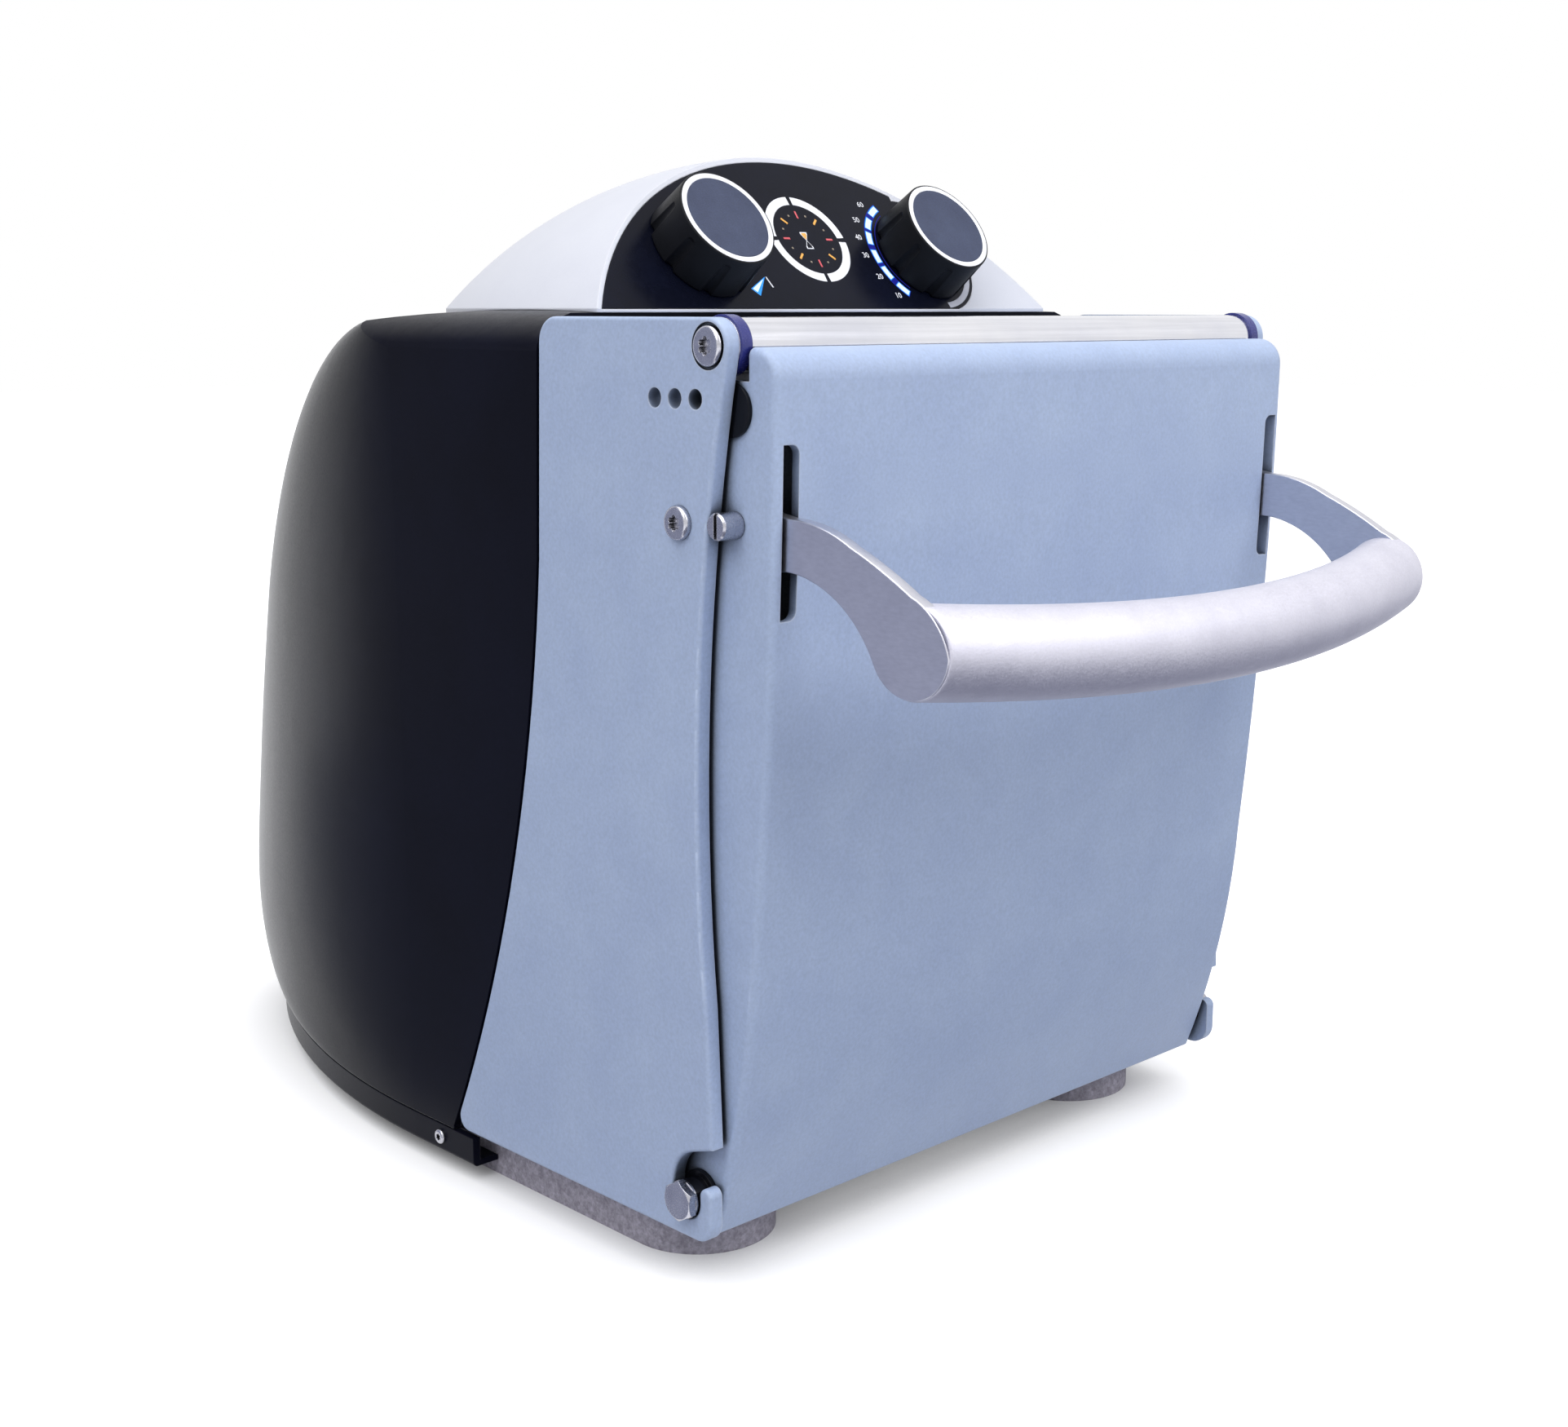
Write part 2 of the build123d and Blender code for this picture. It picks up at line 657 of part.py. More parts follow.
def knob(place, name):
    """Knob body, its white ring, its cap disc and its shaft."""
    cone = Cone(knob_base_radius, knob_top_radius, knob_body_top, align=(Align.CENTER, Align.CENTER, Align.MIN))
    cone = fillet(cone.edges().sort_by(Axis.Z)[-1], 0.5)
    flute_length = knob_body_top * 0.85
    for turn in range(flute_count):
        flute = Cylinder(flute_radius, flute_length, align=(Align.CENTER, Align.CENTER, Align.MIN))
        flute = fillet(flute.edges().sort_by(Axis.Z)[-1], flute_radius * 0.7)
        cone -= Rot(0, 0, 22.5 + turn * 360 / flute_count) * Pos(knob_base_radius + 0.9, 0, 0) * flute
    cone -= Pos(0, 0, knob_body_top) * extrude(Circle(knob_ring_outer), -inlay_depth)
    cone -= extrude(Circle(9.0), 4.0)
    cone -= extrude(Circle(knob_shaft_radius), shaft_top - knob_lift)
    lifted = place * Pos(0, 0, knob_lift)
    ring_face = Circle(knob_ring_outer - running_clearance) - Circle(knob_ring_inner)
    white_ring = Pos(0, 0, knob_body_top) * extrude(ring_face, -inlay_depth)
    save(lifted * white_ring, name + "_knob_ring")
    cap = Pos(0, 0, knob_body_top) * extrude(Circle(knob_ring_inner - running_clearance), -inlay_depth)
    save(lifted * cap, name + "_knob_cap")
    shaft_length = shaft_top + encoder_depth - 1
    shaft = extrude(Circle(knob_shaft_radius - running_clearance), shaft_length)
    save(Compound([lifted * cone, place * Pos(0, 0, 1 - encoder_depth) * shaft]), name + "_knob")


knob(speed_place, "speed")
knob(time_place, "time")
encoder = block(-encoder_half, encoder_half, -encoder_half, encoder_half, -encoder_depth, -encoder_front)
encoder += Pos(0, 0, -encoder_front) * extrude(Circle(encoder_bush_radius), encoder_front + 0.4)
bore = Cylinder(knob_shaft_radius, 20, align=(Align.CENTER, Align.CENTER, Align.MIN))
encoder -= Pos(0, 0, 1 - encoder_depth - 0.2) * bore
save(Compound([speed_place * encoder, time_place * encoder]), "encoders")
display_place = on_fascia(0, 21.0, -encoder_depth)
display_board = extrude(display_place * Rectangle(140, 26), -board_wall)
save(display_board, "display_board")


# Door: its side-view outline, the shell with its wings, and what is fixed to it
door_knee = (-12.0, 112.0)
door_high = (door_front_y, door_top_z)


def door_front(shift):
    """The door's bowed front face, moved back by shift."""
    upper = ThreePointArc(
        (door_high[0] + shift, door_high[1]), (-18.7 + shift, 200.0), (door_knee[0] + shift, door_knee[1])
    )
    lower = ThreePointArc(
        (door_knee[0] + shift, door_knee[1]), (-4.6 + shift, 60.0), (door_bottom_y + shift, door_bottom_z)
    )
    return upper, lower


upper_front, lower_front = door_front(0)
bar_room = bar_ring_radius + 1.0
wing_curves = upper_front + lower_front
wing_curves += Polyline(
    (door_bottom_y, door_bottom_z),
    (hinge_y, door_bottom_z + 1.0),
    (hinge_y + hinge_ear_radius - 1.5, 24.0),
    (hinge_y + hinge_ear_radius - 0.5, 60.0),
    (12.0, 150.0),
    (door_back_y, 236.0),
    (door_back_y, bar_z - bar_room),
    (-bar_room, bar_z - bar_room),
    (-bar_room, door_top_z),
    door_high,
)
wing_face = rounded(make_face(wing_curves), (door_high[0], door_high[1], 0), door_top_radius)
door_block = extrude(Plane.YZ.offset(-wing_half) * wing_face, 2 * wing_half)
front_edges = door_block.edges().filter_by(lambda edge: abs(edge.center().X) > wing_half - 0.01)
front_edges = front_edges.filter_by(lambda edge: edge.center().Y < -door_wall and edge.length > 60)
door_shell = fillet(front_edges, 2.6)
inner_upper, inner_lower = door_front(door_wall)
inner_curves = inner_upper + inner_lower
inner_curves += Polyline(
    (door_bottom_y + door_wall, door_bottom_z),
    (100, door_bottom_z),
    (100, door_top_z),
    (door_high[0] + door_wall, door_top_z),
)
inner_room = extrude(Plane.YZ.offset(-wing_half + door_wall) * make_face(inner_curves), 2 * (wing_half - door_wall))
lip_top_z = door_bottom_z + door_wall
door_shell -= inner_room & block(-200, 200, -100, 200, lip_top_z, door_top_z - door_wall)
slot_back = door_front_y + 3 * door_wall
slot = block(slot_inner_x, wing_half - door_wall, door_front_y - 5, slot_back, slot_bottom_z, slot_top_z)
slot_edges = slot.edges().filter_by(Axis.Y).group_by(Axis.X)[0]
slot = fillet(slot_edges, slot_corner)
door_shell -= both(slot)
wing_out = wing_half + 1
wing_in = wing_half - door_wall - 1
hinge_hole = along_x(hinge_bolt_radius + running_clearance, wing_in, wing_out, hinge_y, hinge_z)
pivot_hole = along_x(pivot_radius + running_clearance, wing_in, wing_out, pivot_y, pivot_z)
door_shell -= both(hinge_hole) + both(pivot_hole)
save(door_shell, "door_shell")

liner_back_y = 2.0
pan_half = frame_half - 25.0
pan_wall = 2.0
pan_bottom_z = 66.0
pan_top_z = bar_z - 12.3
pan = block(-pan_half, pan_half, door_front_y, liner_back_y, pan_bottom_z, pan_top_z) & inner_room
pan -= block(
    -pan_half + pan_wall, pan_half - pan_wall, -100, liner_back_y - pan_wall, pan_bottom_z + pan_wall, pan_top_z - pan_wall
)
pan = Pos(0, running_clearance, 0) * pan
save(pan, "door_liner")
seal_y = liner_back_y + running_clearance
seal_half = pan_half - 10.0
seal_low = pan_bottom_z + 10
seal_high = pan_top_z - 8
seal = block(-seal_half, seal_half, seal_y, seal_y + 2, seal_low, seal_high)
seal -= block(-seal_half + 4, seal_half - 4, seal_y - 1, seal_y + 3, seal_low + 4, seal_high - 4)
save(seal, "door_seal")

# Hinge bolts with their bushes and nuts
head_in = frame_half + 0.2
washer_length = 0.9
bolt = along_x(hinge_head_radius, head_in, head_in + washer_length, hinge_y, hinge_z)
hexagon = RegularPolygon(hinge_head_radius - 0.3, 6, major_radius=False)
hexagon = extrude(hexagon, hinge_head_length - washer_length)
hexagon &= Cone(
    hinge_head_radius + 3.6,
    hinge_head_radius - 0.5,
    hinge_head_length - washer_length,
    align=(Align.CENTER, Align.CENTER, Align.MIN),
)
bolt += Pos(head_in + washer_length, hinge_y, hinge_z) * Rot(0, 90, 0) * hexagon
nut_length = 5.5
nut_in = wing_half - door_wall - nut_length
bolt += along_x(hinge_bolt_radius, nut_in, head_in, hinge_y, hinge_z)
bush_bore = hinge_bolt_radius + running_clearance
bush = along_x(hinge_bush_radius, wing_half + 0.1, head_in - 0.1, hinge_y, hinge_z)
bush += along_x(hinge_collar_radius, wing_half + 0.1, frame_inner - part_gap, hinge_y, hinge_z)
bush -= along_x(bush_bore, wing_half - 1, frame_half + 2, hinge_y, hinge_z)
save(both(bush), "hinge_bushes")
nut_half = 5.0
nut = extrude(RegularPolygon(nut_half, 6, major_radius=False), nut_length) - extrude(Circle(bush_bore), nut_length)
nut = Pos(nut_in, hinge_y, hinge_z) * Rot(0, 90, 0) * nut
save(Compound([bolt, nut, mirror(bolt, Plane.YZ), mirror(nut, Plane.YZ)]), "hinge_bolts")

# Handle pivot pins, slotted heads outside the wing, and the black latch discs
pin_end = arm_outer_x - arm_wall - 1.0
pin = along_x(pivot_radius, pin_end, wing_half + 0.2, pivot_y, pivot_z)
pin_head = Cylinder(pivot_head_radius, pivot_head_length, align=(Align.CENTER, Align.CENTER, Align.MIN))
pin_head = chamfer(pin_head.edges().sort_by(Axis.Z)[-1], 0.6)
pin_head -= Pos(0, 0, pivot_head_length) * Box(20, 1.4, 2.4)
pin += Pos(wing_half + 0.1, pivot_y, pivot_z) * Rot(0, 90, 0) * pin_head
save(both(pin), "handle_pivot_pins")
disc = along_x(latch_disc_radius, wing_half, wing_half + latch_disc_wall, latch_disc_y, latch_disc_z)
save(both(disc), "latch_discs")

# Handle: two flat arms with latch tails, and a bowed grip between them
arm_curves = ThreePointArc((-14.0, 247.6), (-40.2, 244.0), (-65.6, 231.2))
arm_curves += ThreePointArc((-65.6, 231.2), (-72.3, 225.5), (-76.3, 217.0))
arm_curves += ThreePointArc((-76.3, 217.0), (-77.4, 207.7), (-72.1, 201.8))
arm_curves += ThreePointArc((-72.1, 201.8), (-65.3, 199.8), (-58.2, 201.1))
arm_curves += ThreePointArc((-58.2, 201.1), (-54.0, 207.5), (-49.6, 216.0))
arm_curves += ThreePointArc((-49.6, 216.0), (-37.7, 226.9), (-22.0, 232.0))
arm_curves += Line((-22.0, 232.0), (-14.0, 232.2))
arm_curves += Line((-14.0, 232.2), (-14.0, 247.6))
tail_face = Polyline(
    (-10.2, 2.0),
    (-10.2, -13.7),
    (-4.0, -14.5),
    (23.0, -14.5),
    (26.0, -11.5),
    (26.0, -4.2),
    (21.5, -4.2),
    (21.5, -8.5),
    (5.0, -8.5),
    (0.0, 8.0),
    close=True,
)
arm_face = make_face(arm_curves) + Pos(pivot_y, pivot_z) * (make_face(tail_face) + Circle(boss_radius))
arm_face -= Pos(pivot_y, pivot_z) * Circle(pivot_radius + running_clearance)
arm = extrude(Plane.YZ.offset(arm_outer_x - arm_wall) * arm_face, arm_wall)
save(both(arm), "handle_arms")
grip_end = arm_outer_x - arm_wall
bow_line = ThreePointArc(
    (-grip_end - 5, -handle_reach + 1.9, grip_end_z + 0.5),
    (0, -handle_reach - grip_bow, grip_end_z - grip_drop),
    (grip_end + 5, -handle_reach + 1.9, grip_end_z + 0.5),
)
bow_start = Plane(bow_line @ 0, x_dir=(0, 0, 1), z_dir=bow_line % 0)
grip = sweep(bow_start * Ellipse(grip_half_height, grip_half_depth), path=bow_line)
grip &= block(-grip_end, grip_end, -200, 0, 100, 300)
save(grip, "handle_grip")

# Chamber liner: floor and sides of bright sheet
liner = block(-liner_half, liner_half, 6.0, bulkhead_y - 0.1, liner_bottom_z, liner_top_z)
liner -= block(
    -liner_half + liner_wall, liner_half - liner_wall, 0, bulkhead_y, liner_bottom_z + liner_wall, liner_top_z + 1
)
save(liner, "chamber_liner")

# Drive housing: bulkhead and two cheeks that carry the crankshaft
bulkhead_back = bulkhead_y + bulkhead_wall
bulkhead_top = top_plate_low - 0.1
housing = block(-base_half, base_half, bulkhead_y, bulkhead_back, base_top_z, bulkhead_top)
housing &= Pos(0, 0, -cover_wall - part_gap) * arch_room
cheek_back = crank_y + bearing_outer_radius + 10
cheek = block(
    cheek_inner_x, cheek_inner_x + cheek_wall, bulkhead_back - 1, cheek_back, crank_z - 34, crank_z + 34
)
housing += both(cheek)
bearing_bore = bearing_outer_radius + running_clearance
housing -= along_x(bearing_bore, -cheek_inner_x - cheek_wall - 1, cheek_inner_x + cheek_wall + 1, crank_y, crank_z)
for side in (-1, 1):
    housing -= along_y(bush_outer_radius + running_clearance, 60, 100, side * paddle_x, crank_z)
save(housing, "drive_housing")
bush_front = bulkhead_y - 4
bush_back = bulkhead_back + 6
shaft_bush = along_y(bush_outer_radius, bush_front, bush_back, paddle_x, crank_z)
shaft_bush += along_y(bush_outer_radius + 3, bush_front, bulkhead_y - running_clearance, paddle_x, crank_z)
shaft_bush -= along_y(shaft_radius + running_clearance, bush_front - 1, bush_back + 1, paddle_x, crank_z)
save(both(shaft_bush), "shaft_bushes")
bearing = along_x(bearing_outer_radius, cheek_inner_x, cheek_inner_x + cheek_wall, crank_y, crank_z)
bearing -= along_x(crank_radius + running_clearance, cheek_inner_x - 1, cheek_inner_x + cheek_wall + 1, crank_y, crank_z)
save(both(bearing), "crank_bearings")

# Crankshaft: one eccentric up on the left, one down on the right
pulley_outer_x = pulley_inner_x + pulley_width
crankshaft = along_x(crank_radius, -crank_half, pulley_outer_x + 2, crank_y, crank_z)
eccentric_half = 6.0
eccentric_rings = []
for side in (-1, 1):
    offset_z = crank_z - side * throw
    middle_x = side * paddle_x
    crankshaft += along_x(eccentric_radius, middle_x - eccentric_half, middle_x + eccentric_half, crank_y, offset_z)
    ring = along_x(eccentric_bearing_radius, middle_x - 5, middle_x + 5, crank_y, offset_z)
    ring -= along_x(eccentric_radius + running_clearance, middle_x - 6, middle_x + 6, crank_y, offset_z)
    eccentric_rings.append(ring)
save(crankshaft, "crankshaft")
save(Compound(eccentric_rings), "eccentric_bearings")
crank_pulley = along_x(drive_pulley_radius, pulley_inner_x, pulley_outer_x, crank_y, crank_z)
crank_pulley -= along_x(crank_radius + running_clearance, pulley_inner_x - 1, pulley_outer_x + 1, crank_y, crank_z)
for turn in range(6):
    hole = Pos(0, crank_y, crank_z) * Rot(turn * 60, 0, 0) * Pos(0, 0, 21.5)
    hole_bar = Rot(0, 90, 0) * Cylinder(6.5, pulley_width + 2)
    crank_pulley -= hole * Pos(pulley_inner_x + pulley_width / 2, 0, 0) * hole_bar
save(crank_pulley, "crank_pulley")

# Paddles with their shafts and yokes; the slot leaves room for the sine
yoke_gap = lever_slack * throw + 0.35
yoke_slot_half = eccentric_bearing_radius + yoke_gap
yoke_slot_high = eccentric_bearing_radius + throw + 0.6
yoke_front = crank_y - yoke_slot_half - yoke_rim
paddle_back_y = paddle_front_y + paddle_wall
for side, name in ((-1, "left"), (1, "right")):
    middle_x = side * paddle_x
    paddle = block(
        middle_x - paddle_width / 2,
        middle_x + paddle_width / 2,
        paddle_front_y,
        paddle_back_y,
        crank_z - paddle_height / 2,
        crank_z + paddle_height / 2,
    )
    paddle = fillet(paddle.edges().filter_by(Axis.Y), 10.0)
    paddle = fillet(paddle.faces().sort_by(Axis.Y)[0].edges(), 3.0)
    save(paddle, "paddle_" + name)
    yoke = block(
        middle_x - yoke_width / 2,
        middle_x + yoke_width / 2,
        yoke_front,
        crank_y + yoke_slot_half + yoke_rim,
        crank_z - yoke_slot_high - yoke_rim,
        crank_z + yoke_slot_high + yoke_rim,
    )
    yoke -= block(
        middle_x - yoke_width,
        middle_x + yoke_width,
        crank_y - yoke_slot_half,
        crank_y + yoke_slot_half,
        crank_z - yoke_slot_high,
        crank_z + yoke_slot_high,
    )
    rod = yoke + along_y(shaft_radius, paddle_back_y, yoke_front + 1, middle_x, crank_z)
    save(rod, "paddle_rod_" + name)

# Motor, its cradle, the pulley and the belt
motor = along_x(motor_radius, motor_rear_x, motor_front_x, motor_y, motor_z)
motor_in = motor_radius - motor_wall
motor -= along_x(motor_in, motor_rear_x + 8, motor_front_x - 8, motor_y, motor_z)
shaft_back_x = motor_rear_x + 4
motor -= along_x(motor_shaft_radius + running_clearance, shaft_back_x - 0.2, motor_front_x + 1, motor_y, motor_z)
save(motor, "motor_housing")
stator = along_x(motor_in - running_clearance, motor_rear_x + 24, motor_front_x - 24, motor_y, motor_z)
stator -= along_x(stator_inner_radius, motor_rear_x + 20, motor_front_x - 20, motor_y, motor_z)
save(stator, "motor_stator")
rotor = along_x(stator_inner_radius - rotor_gap, motor_rear_x + 26, motor_front_x - 26, motor_y, motor_z)
rotor += along_x(motor_shaft_radius, shaft_back_x, pulley_outer_x + 1, motor_y, motor_z)
save(rotor, "motor_rotor")
motor_pulley = along_x(motor_pulley_radius, pulley_inner_x, pulley_outer_x, motor_y, motor_z)
motor_pulley -= along_x(
    motor_shaft_radius + running_clearance, pulley_inner_x - 1, pulley_outer_x + 2, motor_y, motor_z
)
save(motor_pulley, "motor_pulley")
cradle = block(-60, 24, motor_y - 34, motor_y + 34, base_top_z, motor_z - 16)
cradle -= along_x(motor_radius + running_clearance, -90, 60, motor_y, motor_z)
save(cradle, "motor_cradle")


def belt_loop(grow):
    """The belt's outline round both pulleys, seen from the side."""
    big = Pos(crank_y, crank_z) * Circle(drive_pulley_radius + grow)
    small = Pos(motor_y, motor_z) * Circle(motor_pulley_radius + grow)
    return make_hull((big + small).edges())


belt_face = belt_loop(belt_wall) - belt_loop(running_clearance)
belt = extrude(Plane.YZ.offset(pulley_inner_x + 1) * belt_face, pulley_width - 2)
save(belt, "drive_belt")

# Power supply and control board
supply_top = base_top_z + supply_height
supply_front = supply_y - supply_depth / 2
supply_back = supply_y + supply_depth / 2
supply = block(-supply_half, supply_half, supply_front, supply_back, base_top_z, supply_top)
vent_count = 9
for step in range(vent_count):
    vent_x = (step - (vent_count - 1) / 2) * 9.0
    supply -= block(vent_x - 1.5, vent_x + 1.5, supply_y - 14, supply_y + 14, supply_top - 1.5, supply_top + 1)
save(supply, "power_supply")
board_half = 45.0
board_depth = 36.0
board_front = supply_y - board_depth / 2
board_back = supply_y + board_depth / 2
control_board = block(-board_half, board_half, board_front, board_back, board_z, board_z + board_wall)
posts = []
for side in (-1, 1):
    for end in (-1, 1):
        post = Cylinder(3.0, board_z - supply_top, align=(Align.CENTER, Align.CENTER, Align.MIN))
        posts.append(Pos(side * (board_half - 4), supply_y + end * (board_depth / 2 - 4), supply_top) * post)
save(Compound([control_board] + posts), "control_board")

# Inlet panel with the mains inlet and the power switch
panel_back = panel_y + panel_wall
panel = block(-34, 34, supply_back + 2, panel_back, base_top_z, base_top_z + panel_wall)
panel += block(-40, 40, panel_y, panel_back, base_top_z, 80)
inlet_room = part_gap
panel -= block(
    inlet_x - inlet_width / 2 - inlet_room,
    inlet_x + inlet_width / 2 + inlet_room,
    350,
    380,
    inlet_z - inlet_height / 2 - inlet_room,
    inlet_z + inlet_height / 2 + inlet_room,
)
switch_frame_half = switch_width / 2 + 2.0
switch_frame_high = switch_height / 2 + 3.0
panel -= block(
    switch_x - switch_frame_half - inlet_room,
    switch_x + switch_frame_half + inlet_room,
    350,
    380,
    inlet_z - switch_frame_high - inlet_room,
    inlet_z + switch_frame_high + inlet_room,
)
save(panel, "inlet_panel")
inlet_back = panel_back + 6
inlet = block(
    inlet_x - inlet_width / 2,
    inlet_x + inlet_width / 2,
    inlet_back - socket_depth - 8,
    inlet_back,
    inlet_z - inlet_height / 2,
    inlet_z + inlet_height / 2,
)
inlet -= block(
    inlet_x - socket_width / 2,
    inlet_x + socket_width / 2,
    inlet_back - socket_depth,
    inlet_back + 1,
    inlet_z - socket_height / 2,
    inlet_z + socket_height / 2,
)
for blade_x, blade_z in ((-7.0, -1.5), (0.0, 3.0), (7.0, -1.5)):
    inlet += block(
        inlet_x + blade_x - 1,
        inlet_x + blade_x + 1,
        inlet_back - socket_depth - 1,
        inlet_back - 3,
        inlet_z + blade_z - 2,
        inlet_z + blade_z + 2,
    )
save(inlet, "mains_inlet")
rocker_y = panel_y - 1
frame_back = panel_back + 4
switch_frame = block(
    switch_x - switch_frame_half,
    switch_x + switch_frame_half,
    rocker_y - 12,
    frame_back,
    inlet_z - switch_frame_high,
    inlet_z + switch_frame_high,
)
switch_frame -= block(
    switch_x - switch_width / 2,
    switch_x + switch_width / 2,
    rocker_y - 10,
    frame_back + 1,
    inlet_z - switch_height / 2 - 0.4,
    inlet_z + switch_height / 2 + 0.4,
)
rocker_pin = 1.5
rocker_pin_x = switch_width / 2 + 1.2
switch_frame -= along_x(rocker_pin + running_clearance, switch_x - rocker_pin_x - 0.1, switch_x + rocker_pin_x + 0.1, rocker_y, inlet_z)
save(switch_frame, "switch_housing")
rocker_curves = Polyline((-4, -8), (4.5, -8.6), (3.2, 0), (6.5, 8.6), (-4, 8), close=True)
rocker_half = switch_width / 2 - 0.3
rocker = extrude(Plane.YZ.offset(switch_x - rocker_half) * Pos(rocker_y, inlet_z) * make_face(rocker_curves), 2 * rocker_half)
rocker += along_x(rocker_pin, switch_x - rocker_pin_x, switch_x + rocker_pin_x, rocker_y, inlet_z)
save(rocker, "power_rocker")

# The origin goes under the middle of the whole machine
front_end = min(solid.bounding_box().min.Y for solid in nodes.values())
rear_end = max(solid.bounding_box().max.Y for solid in nodes.values())
centre_y = (front_end + rear_end) / 2
print("bar axis at y =", -centre_y, "overall depth", rear_end - front_end)
for node, solid in nodes.items():
    export_step(Pos(0, -centre_y, 0) * solid, "parts/" + node + ".step")
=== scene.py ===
import math

import bmesh
import bpy
from mathutils import Matrix, Vector


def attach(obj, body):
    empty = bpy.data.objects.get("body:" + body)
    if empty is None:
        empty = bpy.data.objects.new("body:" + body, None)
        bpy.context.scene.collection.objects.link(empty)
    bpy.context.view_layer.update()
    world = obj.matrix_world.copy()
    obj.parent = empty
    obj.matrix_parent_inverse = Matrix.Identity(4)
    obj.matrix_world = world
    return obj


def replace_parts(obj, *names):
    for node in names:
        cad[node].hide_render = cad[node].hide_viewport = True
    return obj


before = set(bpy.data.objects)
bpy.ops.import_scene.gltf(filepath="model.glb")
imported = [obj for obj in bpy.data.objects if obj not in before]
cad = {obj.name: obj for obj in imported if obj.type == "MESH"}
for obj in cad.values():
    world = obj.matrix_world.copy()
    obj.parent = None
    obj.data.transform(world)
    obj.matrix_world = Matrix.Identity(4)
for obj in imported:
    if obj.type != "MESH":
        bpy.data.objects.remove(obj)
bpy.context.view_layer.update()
print("frame loaded:", len(cad), "CAD nodes")


# Colours are written as sRGB hex, as a colour picker shows them.
def toLinear(hexColour):
    parts = [int(hexColour[i:i + 2], 16) / 255 for i in (1, 3, 5)]
    return [p / 12.92 if p <= 0.04045 else ((p + 0.055) / 1.055) ** 2.4 for p in parts] + [1.0]


# Adds one node. A setting goes to the socket of that name or number, otherwise to the node's own property.
def addNode(tree, kind, settings=None, links=None):
    made = tree.nodes.new(kind)
    for name, value in (settings or {}).items():
        if isinstance(name, int) or name in made.inputs.keys():
            made.inputs[name].default_value = value
        else:
            setattr(made, name, value)
    for name, socket in (links or {}).items():
        tree.links.new(socket, made.inputs[name])
    return made


def newMaterial(name):
    material = bpy.data.materials.new(name)
    material.use_nodes = True
    material.node_tree.nodes.clear()
    return material, material.node_tree


def newObject(name, data):
    made = bpy.data.objects.new(name, data)
    bpy.context.scene.collection.objects.link(made)
    return made


# The plain mesh that an object shows; the object itself goes.
def shownMesh(holder):
    depsgraph = bpy.context.evaluated_depsgraph_get()
    mesh = bpy.data.meshes.new_from_object(holder.evaluated_get(depsgraph), depsgraph=depsgraph)
    bpy.data.objects.remove(holder)
    return mesh


# A mesh from a shape whose faces are turned outwards.
def outwardMesh(name, shape):
    bmesh.ops.recalc_face_normals(shape, faces=shape.faces)
    mesh = bpy.data.meshes.new(name)
    shape.to_mesh(mesh)
    shape.free()
    return mesh


# Joins the faces of a mesh that share a corner.
def joinCorners(mesh, turnOut):
    shape = bmesh.new()
    shape.from_mesh(mesh)
    bmesh.ops.remove_doubles(shape, verts=shape.verts, dist=0.000002)
    if turnOut:
        bmesh.ops.recalc_face_normals(shape, faces=shape.faces)
    shape.to_mesh(mesh)
    shape.free()


# A surface with everything a hand-sized thing shows: mottling, an uneven gloss, fine relief, a painted highlight on
# rounded edges, painted shade in holes and gaps, and lengthwise scratches where it was brushed.
noiseSpan = {"From Min": 0.3, "From Max": 0.7}          # where nearly all of a noise's values lie
openSpan = {"From Min": 0.3, "From Max": 0.65}          # how open a place is, from a dark gap to a free face
edgeSpan = {"From Min": 0.995, "From Max": 0.8}         # how far a face leans where its edge is rounded


